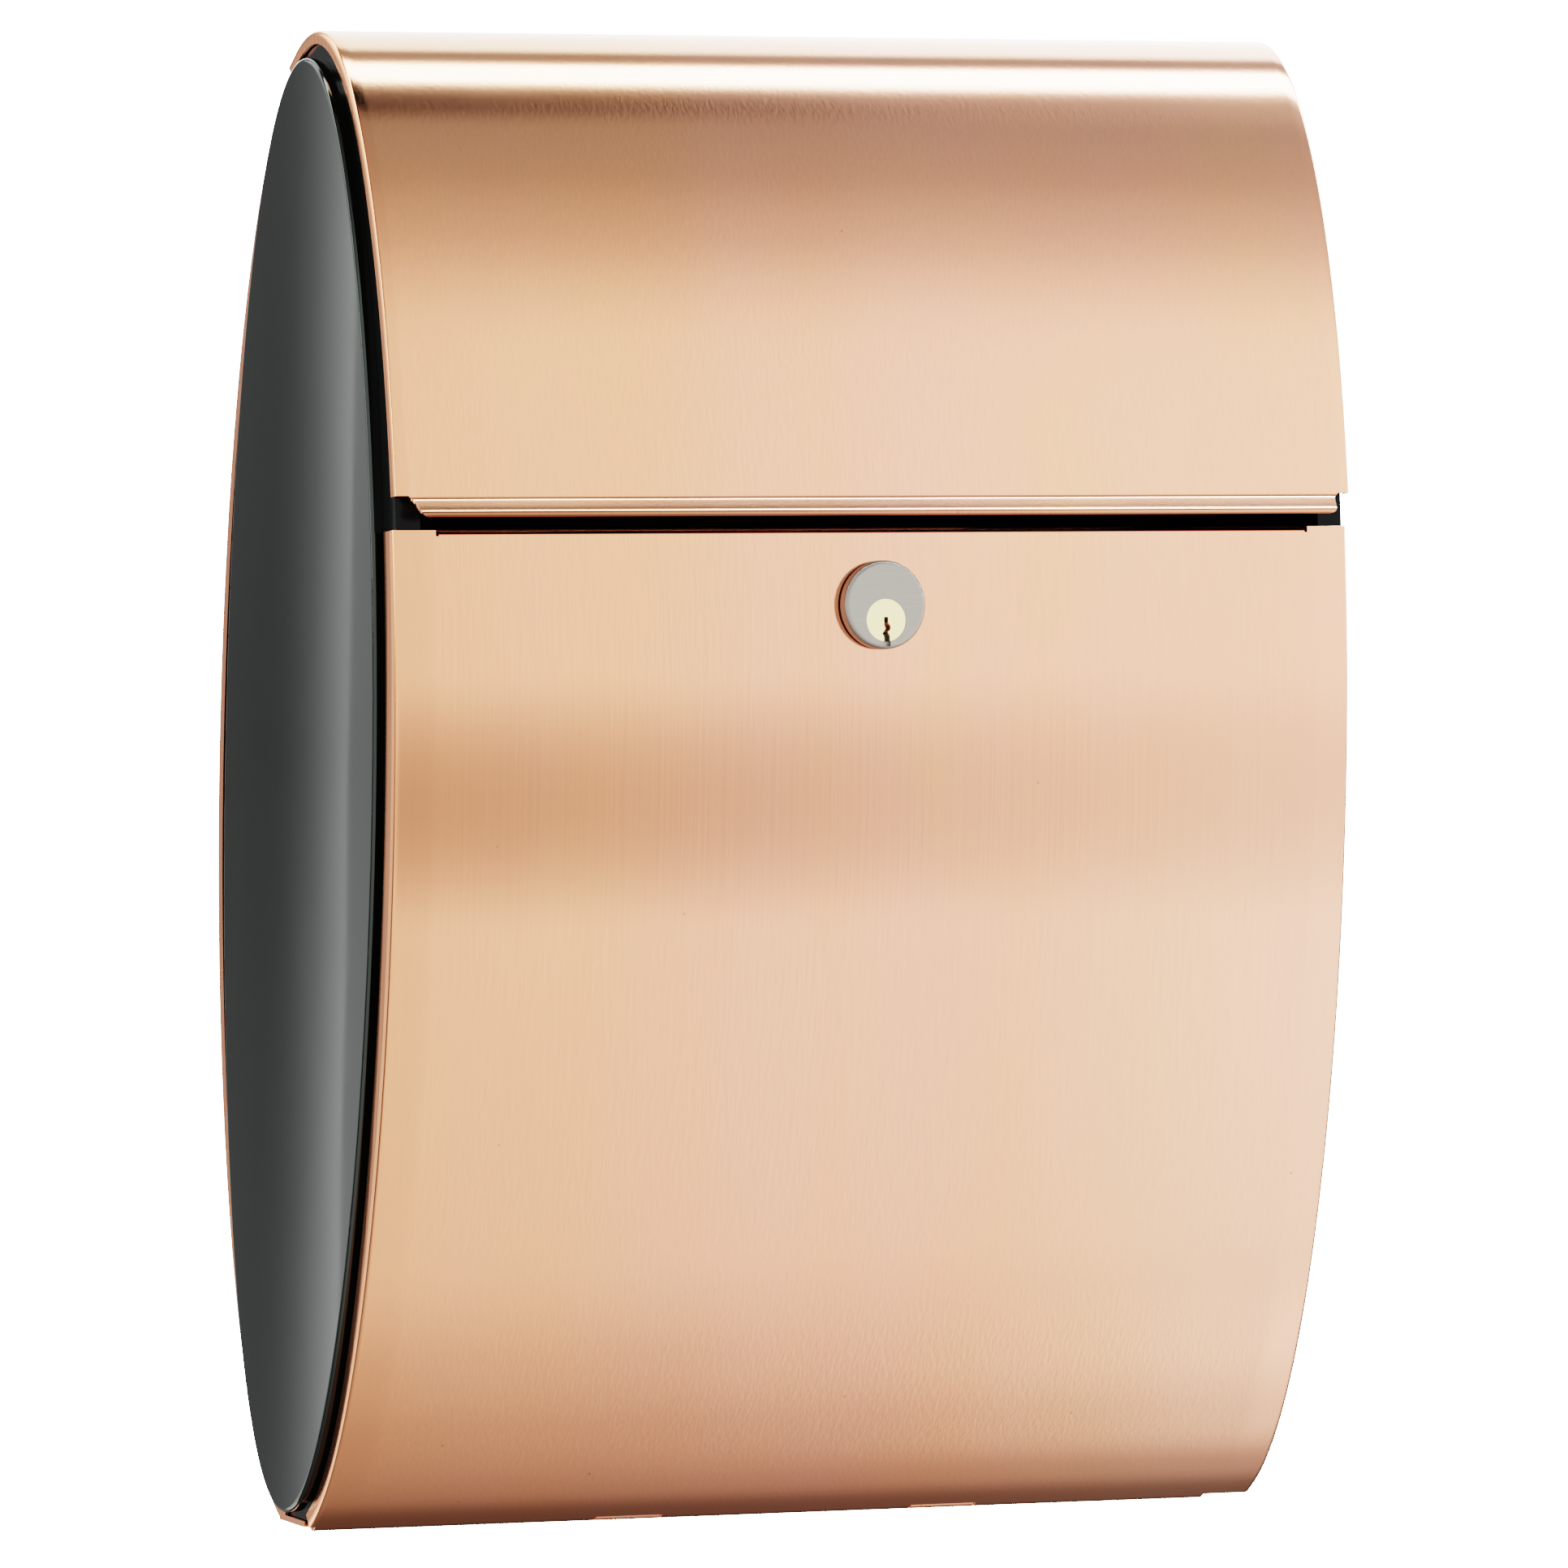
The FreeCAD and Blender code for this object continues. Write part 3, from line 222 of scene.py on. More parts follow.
# The light behind on the left. FROM, TO and END are degrees from straight behind. It is
# weakest at DIP below level, and grows away from there.
PANEL_LIGHT_FROM = 18.4
PANEL_LIGHT_TO = 25.6
PANEL_LIGHT_END = 25.8
PANEL_LIGHT_POWER = 3.2
PANEL_LIGHT_LEVELS = (0.235, 1.385)
PANEL_LIGHT_PAST_END = 0.60
PANEL_LIGHT_DIP = 0.07
PANEL_LIGHT_GROWTH = 5.0
BEHIND_ALONG = (0.3, 0.5)
BEHIND_ACROSS = (-0.02, -0.15)


def studio_turn(degrees):
    """Share of the full turn round the X axis, from straight behind by way of below."""
    return (degrees + 180) / 360


def make_studio():
    """White to the camera, and soft lights and shades to everything else."""
    world = bpy.data.worlds.new("studio")
    world.use_nodes = True
    bpy.context.scene.world = world
    g = Graph(world.node_tree)
    direction = g.add("ShaderNodeTexCoord").outputs["Generated"]
    across, along, up = g.add("ShaderNodeSeparateXYZ", {0: direction}).outputs
    tilt = g.math("ARCTAN2", up, g.math("MULTIPLY", along, -1.0))
    turn = g.affine(tilt, 1 / (2 * math.pi), 0.5)
    stops = [(studio_turn(angle), level / BRIGHTEST) for angle, level in STUDIO_BRIGHTNESS]
    level = g.math("MULTIPLY", g.ramp(turn, stops), BRIGHTEST)
    # Half as bright again on the right as on the left.
    level = g.math("MULTIPLY", level,
                   g.levels(g.smooth(across, *SIDES_ACROSS), *SIDE_LEVELS))
    # A flag above the front takes all light on the left, and adds a third on the right.
    flag = g.between(turn, *[studio_turn(angle) for angle in FLAG_ANGLES])
    change = g.levels(g.smooth(across, *FLAG_ACROSS), *FLAG_CHANGE)
    level = g.math("MULTIPLY", level, g.affine(g.math("MULTIPLY", flag, change), 1.0, 1.0))
    # A low card in front on the right.
    card = g.between(turn, *[studio_turn(angle) for angle in LOW_CARD_ANGLES])
    card = g.math("MULTIPLY", card, g.smooth(across, *LOW_CARD_ACROSS))
    level = g.math("MULTIPLY", level, g.levels(card, 1.0, LOW_CARD_LEVEL))
    # A soft light behind on the left. It grows to a straight edge and is dimmer past it.
    swing = g.math("ARCTAN2", g.math("MULTIPLY", across, -1.0), along)
    climb = g.smooth(swing, math.radians(PANEL_LIGHT_FROM), math.radians(PANEL_LIGHT_TO),
                     "LINEAR")
    glow = g.levels(g.math("POWER", climb, PANEL_LIGHT_POWER), *PANEL_LIGHT_LEVELS)
    cut_off = g.smooth(swing, math.radians(PANEL_LIGHT_END), math.radians(PANEL_LIGHT_TO))
    side_light = g.math("MULTIPLY", glow, g.levels(cut_off, PANEL_LIGHT_PAST_END, 1.0))
    from_dip = g.math("ABSOLUTE", g.affine(up, 1.0, PANEL_LIGHT_DIP))
    side_light = g.math("MULTIPLY", side_light, g.affine(from_dip, PANEL_LIGHT_GROWTH, 1.0))
    behind = g.math("MULTIPLY", g.smooth(along, *BEHIND_ALONG),
                    g.smooth(across, *BEHIND_ACROSS))
    seen = g.add("ShaderNodeMix", {0: behind, 2: level, 3: side_light}).outputs[0]
    camera_ray = g.add("ShaderNodeLightPath").outputs["Is Camera Ray"]
    strength = g.add("ShaderNodeMix", {0: camera_ray, 2: seen, 3: PURE_WHITE}).outputs[0]
    tints = [(studio_turn(angle), tuple(part / TINT_SCALE for part in tint))
             for angle, tint in STUDIO_TINT]
    tint = g.add("ShaderNodeVectorMath", {0: g.ramp(turn, tints), 1: (TINT_SCALE,) * 3},
                 operation="MULTIPLY").outputs[0]
    tint = g.mix(g.smooth(across, *TINT_ACROSS), (1, 1, 1, 1), tint)
    light = g.add("ShaderNodeBackground", {"Color": tint, "Strength": strength})
    g.add("ShaderNodeOutputWorld", {"Surface": light.outputs[0]})
    scene = bpy.context.scene
    scene.view_settings.view_transform = "Filmic"
    scene.view_settings.look = "High Contrast"


def make_floor():
    """White floor well below the mailbox, which takes and gives no light or shadow."""
    level = cad_box[0].z - FLOOR_BELOW
    bpy.ops.mesh.primitive_plane_add(size=FLOOR_SIZE, location=(0, 0, level))
    floor = bpy.context.object
    floor.name = "floor"
    paint = bpy.data.materials.new("floor_white")
    paint.use_nodes = True
    g = Graph(paint.node_tree)
    glow = g.add("ShaderNodeEmission", {"Color": (1, 1, 1, 1), "Strength": PURE_WHITE})
    g.add("ShaderNodeOutputMaterial", {"Surface": glow.outputs[0]})
    floor.data.materials.append(paint)
    floor.visible_glossy = False
    floor.visible_diffuse = False
    floor.visible_shadow = False


# ---- materials -------------------------------------------------------------------

def surface(name, build, **sockets):
    """Material with one Principled shader, whose fixed sockets are set directly."""
    material = bpy.data.materials.new(name)
    material.use_nodes = True
    g = Graph(material.node_tree)
    shader = g.add("ShaderNodeBsdfPrincipled")
    for label, value in sockets.items():
        shader.inputs[label.replace("_", " ")].default_value = value
    place = g.add("ShaderNodeTexCoord").outputs["Object"]
    for label, value in build(g, place).items():
        g.feed(shader.inputs[label], value)
    g.add("ShaderNodeOutputMaterial", {"Surface": shader.outputs[0]})
    return material


def bump(g, height, distance, strength=1.0):
    node = g.add("ShaderNodeBump", {"Height": height, "Distance": distance,
                                    "Strength": strength})
    return node.outputs["Normal"]


COPPER_TONES = ((0.92, 0.375, 0.205, 1), (0.93, 0.385, 0.25, 1))
CLOUD_TONE = (0.92, 0.41, 0.21, 1)
# Painted light: a paler tone towards the lower right, where the light falls brighter.
PAINTED_LIGHT_TONE = (0.94, 0.50, 0.34, 1)
PAINTED_LIGHT_SIDE = (0.02, 0.13)
PAINTED_LIGHT_HEIGHT = (0.05, -0.06)
PAINTED_LIGHT_SHARE = 0.45
# Painted shade on the copper that stands out furthest: y where it starts and is full. It
# is meant for the finger lip, but the middle of the door's front lies in the range as well.
PAINTED_SHADE_DEPTH = (-0.1374, -0.1390)
PAINTED_SHADE_SIDE = (-0.15, 0.15)
PAINTED_SHADE_LEVELS = (1.0, 0.45)
PAINTED_SHADE_TONE = (0.38, 0.38, 0.37, 1)
SPECK_TONE = (0.30, 0.13, 0.07, 1)
SPECK_SHARE = 0.4


def copper():
    """Vertically brushed copper sheet with smudges, specks and painted light and shade."""
    def build(g, place):
        streaks = g.noise(place, 9, (1, 0.4, 0.12), 3)
        clouds = g.noise(place, 7, (1, 1, 0.6), 4, 0.6)
        brushing = g.noise(place, 900, (1, 1, 0.008), 2)
        tone = g.mix(g.smooth(streaks, 0.35, 0.68), *COPPER_TONES)
        tone = g.mix(g.smooth(clouds, 0.5, 0.8), tone, CLOUD_TONE)
        side, depth, height = g.add("ShaderNodeSeparateXYZ", {0: place}).outputs
        # Painted light: paler towards the lower right, where the light falls brighter.
        painted_light_mask = g.math("MULTIPLY", g.smooth(side, *PAINTED_LIGHT_SIDE), g.smooth(height, *PAINTED_LIGHT_HEIGHT))
        tone = g.mix(g.math("MULTIPLY", painted_light_mask, PAINTED_LIGHT_SHARE), tone, PAINTED_LIGHT_TONE)
        # Painted shade on the finger lip and the middle of the door's front, deeper on the left.
        painted_shade_mask = g.math("MULTIPLY", g.smooth(depth, *PAINTED_SHADE_DEPTH),
                         g.levels(g.smooth(side, *PAINTED_SHADE_SIDE), *PAINTED_SHADE_LEVELS))
        tone = g.mix(painted_shade_mask, tone, g.mix(1.0, tone, PAINTED_SHADE_TONE, "MULTIPLY"))
        grain = g.affine(brushing, 0.07, 0.965)
        grey = g.add("ShaderNodeCombineColor", {0: grain, 1: grain, 2: grain}).outputs[0]
        tone = g.mix(1.0, tone, grey, "MULTIPLY")
        specks = g.add("ShaderNodeTexVoronoi", {"Vector": place, "Scale": 85.0})
        rare = g.noise(place, 21, detail=1)
        dots = g.math("MULTIPLY", g.smooth(specks.outputs["Distance"], 0.05, 0.03),
                      g.smooth(rare, 0.56, 0.60))
        tone = g.mix(g.math("MULTIPLY", dots, SPECK_SHARE), tone, SPECK_TONE)
        rough = g.affine(clouds, 0.06, 0.10)
        return {"Base Color": tone, "Roughness": rough,
                "Normal": bump(g, brushing, 0.00002, 0.5)}
    return surface("brushed_copper", build, Metallic=1.0)


def grained(name, scale, tones, rough, relief, stretch=(1, 1, 1), detail=2, **sockets):
    """Material with one fine grain between two tones.

    rough is a fixed roughness, or the grain's share in it and the least, and relief is
    the bump's distance in metres and its strength.
    """
    def build(g, place):
        grain = g.noise(place, scale, stretch, detail)
        tone = g.mix(grain, *tones)
        even = isinstance(rough, float)
        return {"Base Color": tone, "Roughness": rough if even else g.affine(grain, *rough),
                "Normal": bump(g, grain, *relief)}
    return surface(name, build, **sockets)


def black_gloss():
    """Polished black plastic with a faint waviness."""
    def build(g, place):
        dust = g.noise(place, 60, detail=5, roughness=0.7)
        wave = g.noise(place, 14, (1, 1, 0.7), 2)
        rough = g.affine(dust, 0.04, 0.02)
        tone = g.mix(dust, (0.003, 0.0035, 0.003, 1), (0.005, 0.0055, 0.005, 1))
        return {"Base Color": tone, "Roughness": rough, "Normal": bump(g, wave, 0.0002, 0.3)}
    return surface("black_gloss", build, IOR=1.6, Specular_Tint=(0.88, 1.0, 0.93, 1))


def black_moulding():
    """Moulded black plastic, less glossy than the panels."""
    return grained("black_moulding", scale=700, rough=(0.12, 0.14), relief=(0.00002, 0.4),
                   tones=((0.004, 0.004, 0.0045, 1), (0.008, 0.008, 0.0085, 1)), IOR=1.22)


def rail_paint():
    """Matt black paint on steel."""
    return grained("rail_paint", scale=900, rough=0.45, relief=(0.00004, 0.5), detail=3,
                   tones=((0.008, 0.008, 0.008, 1), (0.016, 0.016, 0.016, 1)))


def zinc():
    """Zinc plated steel with a faint spangle and drawn lines."""
    def build(g, place):
        spangle = g.add("ShaderNodeTexVoronoi", {"Vector": place, "Scale": 260.0})
        tint = g.mix(spangle.outputs["Color"], (0.52, 0.54, 0.56, 1), (0.66, 0.66, 0.64, 1))
        wear = g.noise(place, 120, (0.15, 1, 1), 3)
        rough = g.affine(wear, 0.25, 0.22)
        return {"Base Color": tint, "Roughness": rough, "Normal": bump(g, wear, 0.00002, 0.5)}
    return surface("zinc_plate", build, Metallic=1.0)


def nickel():
    """Satin nickel with fine turning lines."""
    return grained("satin_nickel", scale=1500, rough=(0.15, 0.34), relief=(0.00001, 0.6),
                   tones=((0.29, 0.27, 0.24, 1), (0.36, 0.335, 0.30, 1)),
                   stretch=(0.05, 1, 1), Metallic=1.0)


BRASS_TONES = ((0.96, 0.85, 0.38, 1), (0.99, 0.90, 0.47, 1))
KEYWAY_TONE = (0.10, 0.07, 0.02, 1)
KEYWAY_FROM = 0.0003
KEYWAY_TO = 0.0012


def brass():
    """Pale brass, dark inside the keyway and behind the plug's face."""
    inwards = Vector(joint_named("lock_turn")["axis"])
    inwards *= math.copysign(1, inwards.y)
    face = min(vert.co.dot(inwards) for vert in nodes["lock_plug"].data.vertices)

    def build(g, place):
        grain = g.noise(place, 1200, (0.1, 1, 1), 2)
        tone = g.mix(grain, *BRASS_TONES)
        depth = g.add("ShaderNodeVectorMath", {0: place, 1: tuple(inwards)},
                      operation="DOT_PRODUCT").outputs["Value"]
        tone = g.mix(g.smooth(depth, face + KEYWAY_FROM, face + KEYWAY_TO), tone,
                     KEYWAY_TONE)
        return {"Base Color": tone, "Roughness": 0.3, "Normal": bump(g, grain, 0.00001, 0.5)}
    return surface("pale_brass", build, Metallic=1.0)


def rubber():
    """Soft black rubber."""
    return grained("buffer_rubber", scale=1100, rough=0.75, relief=(0.00005, 0.6), detail=3,
                   tones=((0.010, 0.010, 0.010, 1), (0.025, 0.024, 0.023, 1)))


def spacer_plastic():
    """Dark grey plastic."""
    return grained("spacer_plastic", scale=800, rough=0.5, relief=(0.00003, 0.5),
                   tones=((0.05, 0.05, 0.05, 1), (0.08, 0.08, 0.08, 1)))


def dress_cad_nodes():
    """Gives every CAD node its finish, and returns the materials by finish."""
    makers = {"copper": copper, "black_gloss": black_gloss, "black_moulding": black_moulding,
              "rail_paint": rail_paint, "zinc": zinc, "nickel": nickel, "brass": brass,
              "rubber": rubber, "spacer_plastic": spacer_plastic}
    made = {}
    for finish, names in FINISHES.items():
        made[finish] = makers[finish]()
        for name in names:
            piece = nodes[name]
            piece.data.materials.clear()
            piece.data.materials.append(made[finish])
    return made


# ---- sheet metal pieces ------------------------------------------------------------

MM = 0.001
SHEET = 0.8 * MM
HALF_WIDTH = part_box("door_shell")[1].x
CENTRE_Y = -70.0 * MM
HALF_DEPTH = 68.5 * MM
HALF_HEIGHT = 215.0 * MM
LID_OVER = 1.0 * MM
LID_REST = math.radians(0.8)
KNUCKLE = 1.9 * MM
KNUCKLE_SPAN = (40.0 * MM, 60.0 * MM)
KNUCKLE_GAP = 0.4 * MM
RIPPLE_HEIGHT = 0.035 * MM
RIPPLE_LENGTH = 55.0 * MM
EDGE_ROUND = 0.12 * MM

# Rows and columns of the sheets' skins. Steps and leads of angle are in radians.
CURL_ROWS = 22
BRIDGE_ROWS = 8
BEND_ROWS = 8
LIP_ROWS = 5
HEM_ROWS = 10
SHELF_ROWS = 3
CORNER_COLUMNS = 6
FLANGE_COLUMNS = 4
LID_CUT_AFTER = 3
DOOR_CUT_AFTER = 5

LID_EDGE_Z = 85.8 * MM
LID_ROWS = 84
LID_ANGLE_STEP = 0.01
LID_REAR_GAP = 0.9 * MM
LID_REAR_RUN = 5 * MM
LID_CURL_LEAD = 0.32
LID_CURL_TURN = math.radians(285)
LID_CORNER = 1.2 * MM
LID_FLANGE = 3.8 * MM
LID_KNUCKLE_END = 140.2 * MM
LIP_BEND = 1.9 * MM
LIP_SLOPE = math.radians(39.6)
LIP_LENGTH = 4.6 * MM
LIP_END_GAP = 4.0 * MM
LIP_SLANT = 2.4 * MM
LIP_ROUND = 2.0 * MM
HEM_RADIUS = 0.95 * MM
HEM_TURN = math.radians(215)

DOOR_TOP_Z = 77.0 * MM
DOOR_LOW_Z = -205.5 * MM
DOOR_ROWS = 104
DOOR_FOLD = 1.3 * MM
DOOR_SHELF = 8.0 * MM
DOOR_EAR = 0.4 * MM
DOOR_EAR_WIDTH = 13.0 * MM
DOOR_NOTCH = 0.8 * MM
DOOR_CURL_LEAD = 0.12
DOOR_CURL_TURN = math.radians(290)
DOOR_CORNER = 1.8 * MM
DOOR_FLANGE = 7.5 * MM
DOOR_FLANGE_LOSS = 0.42
DOOR_KNUCKLE_END = 134.5 * MM


def joint_place(name):
    """A point on a hinge's axis."""
    return Vector(joint_named(name)["pos_m"])


def on_oval(angle, out=0.0):
    """Point and outward normal of the body's oval where its normal has that angle.

    The angle is in radians, 0 in front and a right angle at the top.
    """
    deep, high = HALF_DEPTH + out, HALF_HEIGHT + out
    normal = Vector((-math.cos(angle), math.sin(angle)))
    reach = math.hypot(deep * normal.x, high * normal.y)
    point = Vector((deep * deep * normal.x / reach, high * high * normal.y / reach))
    return point + Vector((CENTRE_Y, 0)), normal


def oval_angle(height, out=0.0):
    """Normal angle of the oval's front at a height above its centre."""
    high, deep = HALF_HEIGHT + out, HALF_DEPTH + out
    share = height / high
    return math.atan2(share / high, math.sqrt(1 - share * share) / deep)


def spread(low, high, count):
    """Both ends and the places between them, count equal steps apart."""
    return [low + (high - low) * step / count for step in range(count + 1)]


def arc(centre, radius, start, end, count, bulge=1):
    """Points and normals round a centre, angles as for on_oval.

    bulge is 1 where the sheet's outer face is outside the arc, and -1 inside.
    """
    stations = []
    for angle in spread(start, end, count):
        outward = Vector((-math.cos(angle), math.sin(angle)))
        stations.append((centre + radius * outward, bulge * outward))
    return stations


def bridge(first, last, count):
    """Smooth run between two stations, leaving both along the sheet."""
    (here, normal_a), (there, normal_b) = first, last
    reach = (there - here).length / 3
    ahead = there - here
    lead = Vector((-normal_a.y, normal_a.x))
    lead *= math.copysign(reach, lead.dot(ahead))
    tail = Vector((-normal_b.y, normal_b.x))
    tail *= math.copysign(reach, tail.dot(ahead))
    stations = []
    for share in spread(0, 1, count)[1:-1]:
        rest = 1 - share
        point = (rest ** 3 * here + 3 * rest ** 2 * share * (here + lead)
                 + 3 * rest * share ** 2 * (there - tail) + share ** 3 * there)
        stations.append((point, normal_a.lerp(normal_b, share).normalized()))
    return stations


def straight(station, direction, length, count):
    """Flat run on from a station."""
    point, normal = station
    return [(point + direction * step, normal) for step in spread(0, length, count)[1:]]


def columns_across(bend, flange, marks, pitch=9.0 * MM):
    """Section across the sheet, as (x, drop inwards) from flange to flange.

    marks are places that need a column, such as the ends of a notch.
    """
    corner = HALF_WIDTH - bend
    flat = sorted(set([-corner, corner] + list(marks)))
    run = []
    for low, high in zip(flat, flat[1:]):
        run += spread(low, high, max(1, round((high - low) / pitch)))[:-1]
    run = [(x, 0.0) for x in run + [flat[-1]]]
    side = []
    for angle in spread(0, math.pi / 2, CORNER_COLUMNS)[1:]:
        side.append((corner + bend * math.sin(angle), bend * (1 - math.cos(angle))))
    depth = [(HALF_WIDTH, drop) for drop in spread(bend, flange, FLANGE_COLUMNS)[1:]]
    edge = side + depth
    return [(-x, drop) for x, drop in reversed(edge)] + run + edge


def ripple(x, y, z):
    """Faint unevenness of hand finished sheet."""
    place = Vector((x / RIPPLE_LENGTH, y / RIPPLE_LENGTH, z / (2 * RIPPLE_LENGTH)))
    return RIPPLE_HEIGHT * noise.noise(place)


def sheet_piece(name, stations, section, covers, flange_share=lambda height: 1,
                sideways=lambda row, x: x):
    """One skin of quads, given its thickness and softened edges by modifiers.

    stations(x) lists the section's places down the sheet at x, covers(row, x, drop)
    says whether the sheet is there, and sideways(row, x) where a column runs.
    """
    mesh = bpy.data.meshes.new(name)
    build = bmesh.new()
    grid = []
    for x, drop in section:
        line = []
        for row, (point, normal) in enumerate(stations(x)):
            depth = drop * flange_share(point.y) if drop else -ripple(x, point.x, point.y)
            line.append(build.verts.new((sideways(row, x), point.x - normal.x * depth,
                                         point.y - normal.y * depth)))
        grid.append(line)
    strips = zip(section, section[1:], grid, grid[1:])
    for (x_a, drop_a), (x_b, drop_b), left, right in strips:
        for row in range(len(left) - 1):
            if covers(row, (x_a + x_b) / 2, (drop_a + drop_b) / 2):
                build.faces.new((left[row], left[row + 1], right[row + 1], right[row]))
    loose = [vert for vert in build.verts if not vert.link_faces]
    bmesh.ops.delete(build, geom=loose, context="VERTS")
    bmesh.ops.recalc_face_normals(build, faces=build.faces)
    build.to_mesh(mesh)
    build.free()
    mesh.shade_smooth()
    piece = bpy.data.objects.new(name, mesh)
    bpy.context.scene.collection.objects.link(piece)
    thick = piece.modifiers.new("thickness", "SOLIDIFY")
    thick.thickness = SHEET
    thick.offset = -1.0
    thick.use_even_offset = True
    edges = piece.modifiers.new("edges", "BEVEL")
    edges.width = EDGE_ROUND
    edges.segments = 2
    edges.limit_method = "ANGLE"
    edges.angle_limit = math.radians(50)
    edges.harden_normals = True
    return piece


def face_outwards(piece, toward):
    """Turn the skin so that its middle face looks the given way."""
    mesh = piece.data
    if mesh.polygons[len(mesh.polygons) // 2].normal.dot(Vector(toward)) < 0:
        mesh.flip_normals()


def in_moving_span(x, end):
    """Whether the moving half of a hinge has a knuckle at x."""
    inner, outer = KNUCKLE_SPAN
    return abs(x) < inner - KNUCKLE_GAP or outer + KNUCKLE_GAP < abs(x) < end


def span_marks(end):
    """Where the moving knuckles start and end."""
    inner, outer = KNUCKLE_SPAN
    marks = [inner - KNUCKLE_GAP, outer + KNUCKLE_GAP, end]
    return [-mark for mark in marks] + marks


def lid_skin(hinge):
    """The lid's oval run, from its front edge to just short of its hinge."""
    low = oval_angle(LID_EDGE_Z, LID_OVER)
    top = low
    while on_oval(top, LID_OVER)[0].x < hinge.x - LID_REAR_GAP - LID_REAR_RUN:
        top += LID_ANGLE_STEP
    return [on_oval(angle, LID_OVER) for angle in spread(low, top, LID_ROWS)], low, top


def lip_rows(edge, angle):
    """Bend, flat and hem of the finger lip, from the hem's end to the lid's edge."""
    first, first_normal = edge
    middle = first + first_normal * LIP_BEND
    bend_run = arc(middle, LIP_BEND, angle + math.pi, 1.5 * math.pi - LIP_SLOPE,
                   BEND_ROWS, -1)
    down = Vector((-math.cos(LIP_SLOPE), -math.sin(LIP_SLOPE)))
    flat = straight(bend_run[-1], down, LIP_LENGTH, LIP_ROWS)
    tip, tip_normal = flat[-1]
    start = math.atan2(tip_normal.y, -tip_normal.x)
    hem = arc(tip - tip_normal * HEM_RADIUS, HEM_RADIUS, start, start - HEM_TURN, HEM_ROWS)
    return list(reversed(bend_run[1:] + flat + hem[1:])), len(hem)


def lip_ends(rows, hem_rows):
    """How far in the lip's ends lie at each row, rounded at the hem and then slanted."""
    inset = [LIP_SLANT + LIP_ROUND] * (hem_rows // 2)
    rounding = spread(0, math.pi / 2, hem_rows - 1 - len(inset))[1:]
    inset += [LIP_SLANT + LIP_ROUND * (1 - math.sin(angle)) for angle in rounding]
    return inset + [LIP_SLANT * rest for rest in spread(1, 0, rows - len(inset))[1:]]


def make_lid():
    """Lid with side flanges, a concave bend into its lip, and a rolled rear edge."""
    axis = joint_place("lid_hinge")
    hinge = Vector((axis.y, axis.z))
    skin, low, top = lid_skin(hinge)
    lip, hem_rows = lip_rows(skin[0], low)
    curl_start = top + LID_CURL_LEAD
    curl = arc(hinge, KNUCKLE, curl_start, curl_start + LID_CURL_TURN, CURL_ROWS)
    stations = lip + skin + bridge(skin[-1], curl[0], BRIDGE_ROWS) + curl
    skin_start = len(lip)
    skin_end = skin_start + len(skin) - 1
    lip_end = HALF_WIDTH - LIP_END_GAP
    inset = lip_ends(skin_start, hem_rows)

    def sideways(row, x):
        """The lip's ends slant inwards towards its rounded tip."""
        if row < skin_start and abs(abs(x) - lip_end) < 0.01 * MM:
            return math.copysign(lip_end - inset[row], x)
        return x

    def covers(row, x, drop):
        """The lip and the knuckles have no flanges, and gaps lie between the knuckles."""
        if row < skin_start:
            return drop == 0 and abs(x) < lip_end
        if row > skin_end + LID_CUT_AFTER:
            return drop == 0 and in_moving_span(x, LID_KNUCKLE_END)
        return True

    marks = span_marks(LID_KNUCKLE_END) + [-lip_end, lip_end]
    section = columns_across(LID_CORNER, LID_FLANGE, marks)
    lid = sheet_piece("lid_sheet", lambda x: stations, section, covers, sideways=sideways)
    face_outwards(lid, (0, -1, 0.5))
    settle = (Matrix.Translation(axis) @ Matrix.Rotation(-LID_REST, 4, "X")
              @ Matrix.Translation(-axis))
    lid.data.transform(settle)
    return lid


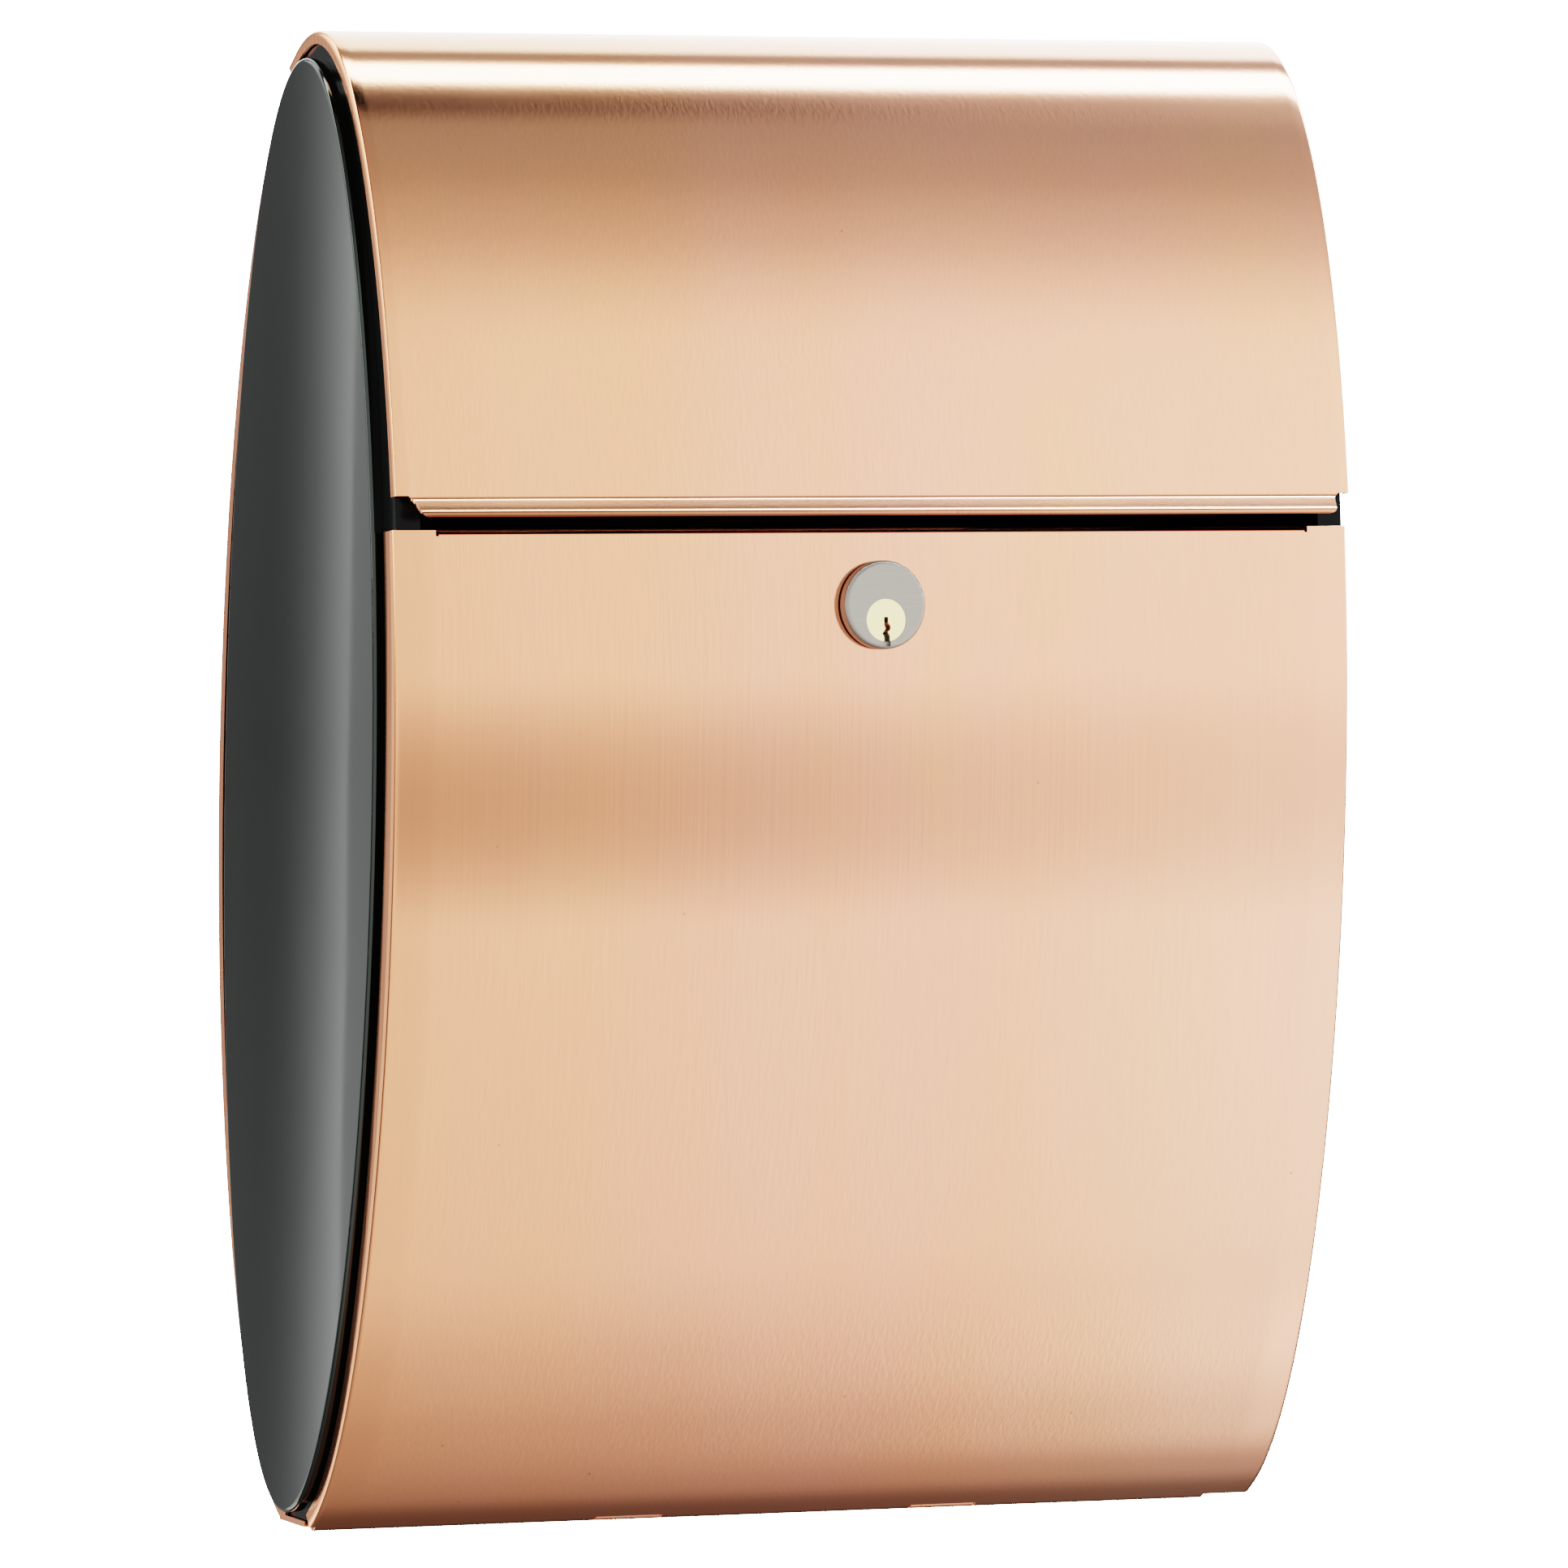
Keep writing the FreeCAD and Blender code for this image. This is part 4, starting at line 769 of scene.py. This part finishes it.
def make_door():
    """Door with deeper side flanges, a folded top flange and a rolled lower edge."""
    axis = joint_place("door_hinge")
    hinge = Vector((axis.y, axis.z))
    high = oval_angle(DOOR_TOP_Z - DOOR_FOLD)
    low = oval_angle(DOOR_LOW_Z)
    skin = [on_oval(angle) for angle in spread(high, low, DOOR_ROWS)]
    first, first_normal = skin[0]
    over = arc(first - first_normal * DOOR_FOLD, DOOR_FOLD, high, math.pi / 2, BEND_ROWS)
    shelf = straight(over[-1], Vector((1, 0)), DOOR_SHELF, SHELF_ROWS)
    folded = list(reversed(over[1:] + shelf))
    ear_top = oval_angle(DOOR_TOP_Z + DOOR_EAR)
    ears = [on_oval(angle) for angle in spread(ear_top, high, len(folded))[:-1]]
    curl_start = low - DOOR_CURL_LEAD
    curl = arc(hinge, KNUCKLE, curl_start, curl_start - DOOR_CURL_TURN, CURL_ROWS)
    body_rows = skin + bridge(skin[-1], curl[0], BRIDGE_ROWS) + curl
    skin_end = len(folded) + len(skin)
    ear_from = HALF_WIDTH - DOOR_EAR_WIDTH
    fold_end = ear_from - DOOR_NOTCH

    def rows_at(x):
        """The corners stand up where the rest of the top edge folds inwards."""
        return (ears if abs(x) > ear_from - DOOR_NOTCH / 2 else folded) + body_rows

    def covers(row, x, drop):
        """A notch parts corners and fold, and the left knuckle runs out to the side."""
        if row < len(folded):
            return abs(x) > ear_from or (abs(x) < fold_end and drop == 0)
        if row > skin_end + DOOR_CUT_AFTER:
            beyond = x < -DOOR_KNUCKLE_END
            return drop == 0 and (beyond or in_moving_span(x, DOOR_KNUCKLE_END))
        return True

    def flange_share(height):
        """The side flanges narrow towards the bottom."""
        below = max(0.0, -height / HALF_HEIGHT)
        return 1 - DOOR_FLANGE_LOSS * below ** 3

    marks = span_marks(DOOR_KNUCKLE_END) + [-ear_from, ear_from, -fold_end, fold_end]
    section = columns_across(DOOR_CORNER, DOOR_FLANGE, marks)
    door = sheet_piece("door_sheet", rows_at, section, covers, flange_share)
    face_outwards(door, (0, -1, 0))
    return door


make_camera()
make_studio()
make_floor()
finishes = dress_cad_nodes()
sheets = ((make_lid(), "lid_shell", "lid"), (make_door(), "door_shell", "door"))
for piece, node, body in sheets:
    piece.data.materials.append(finishes["copper"])
    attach(piece, body)
    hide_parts(node)
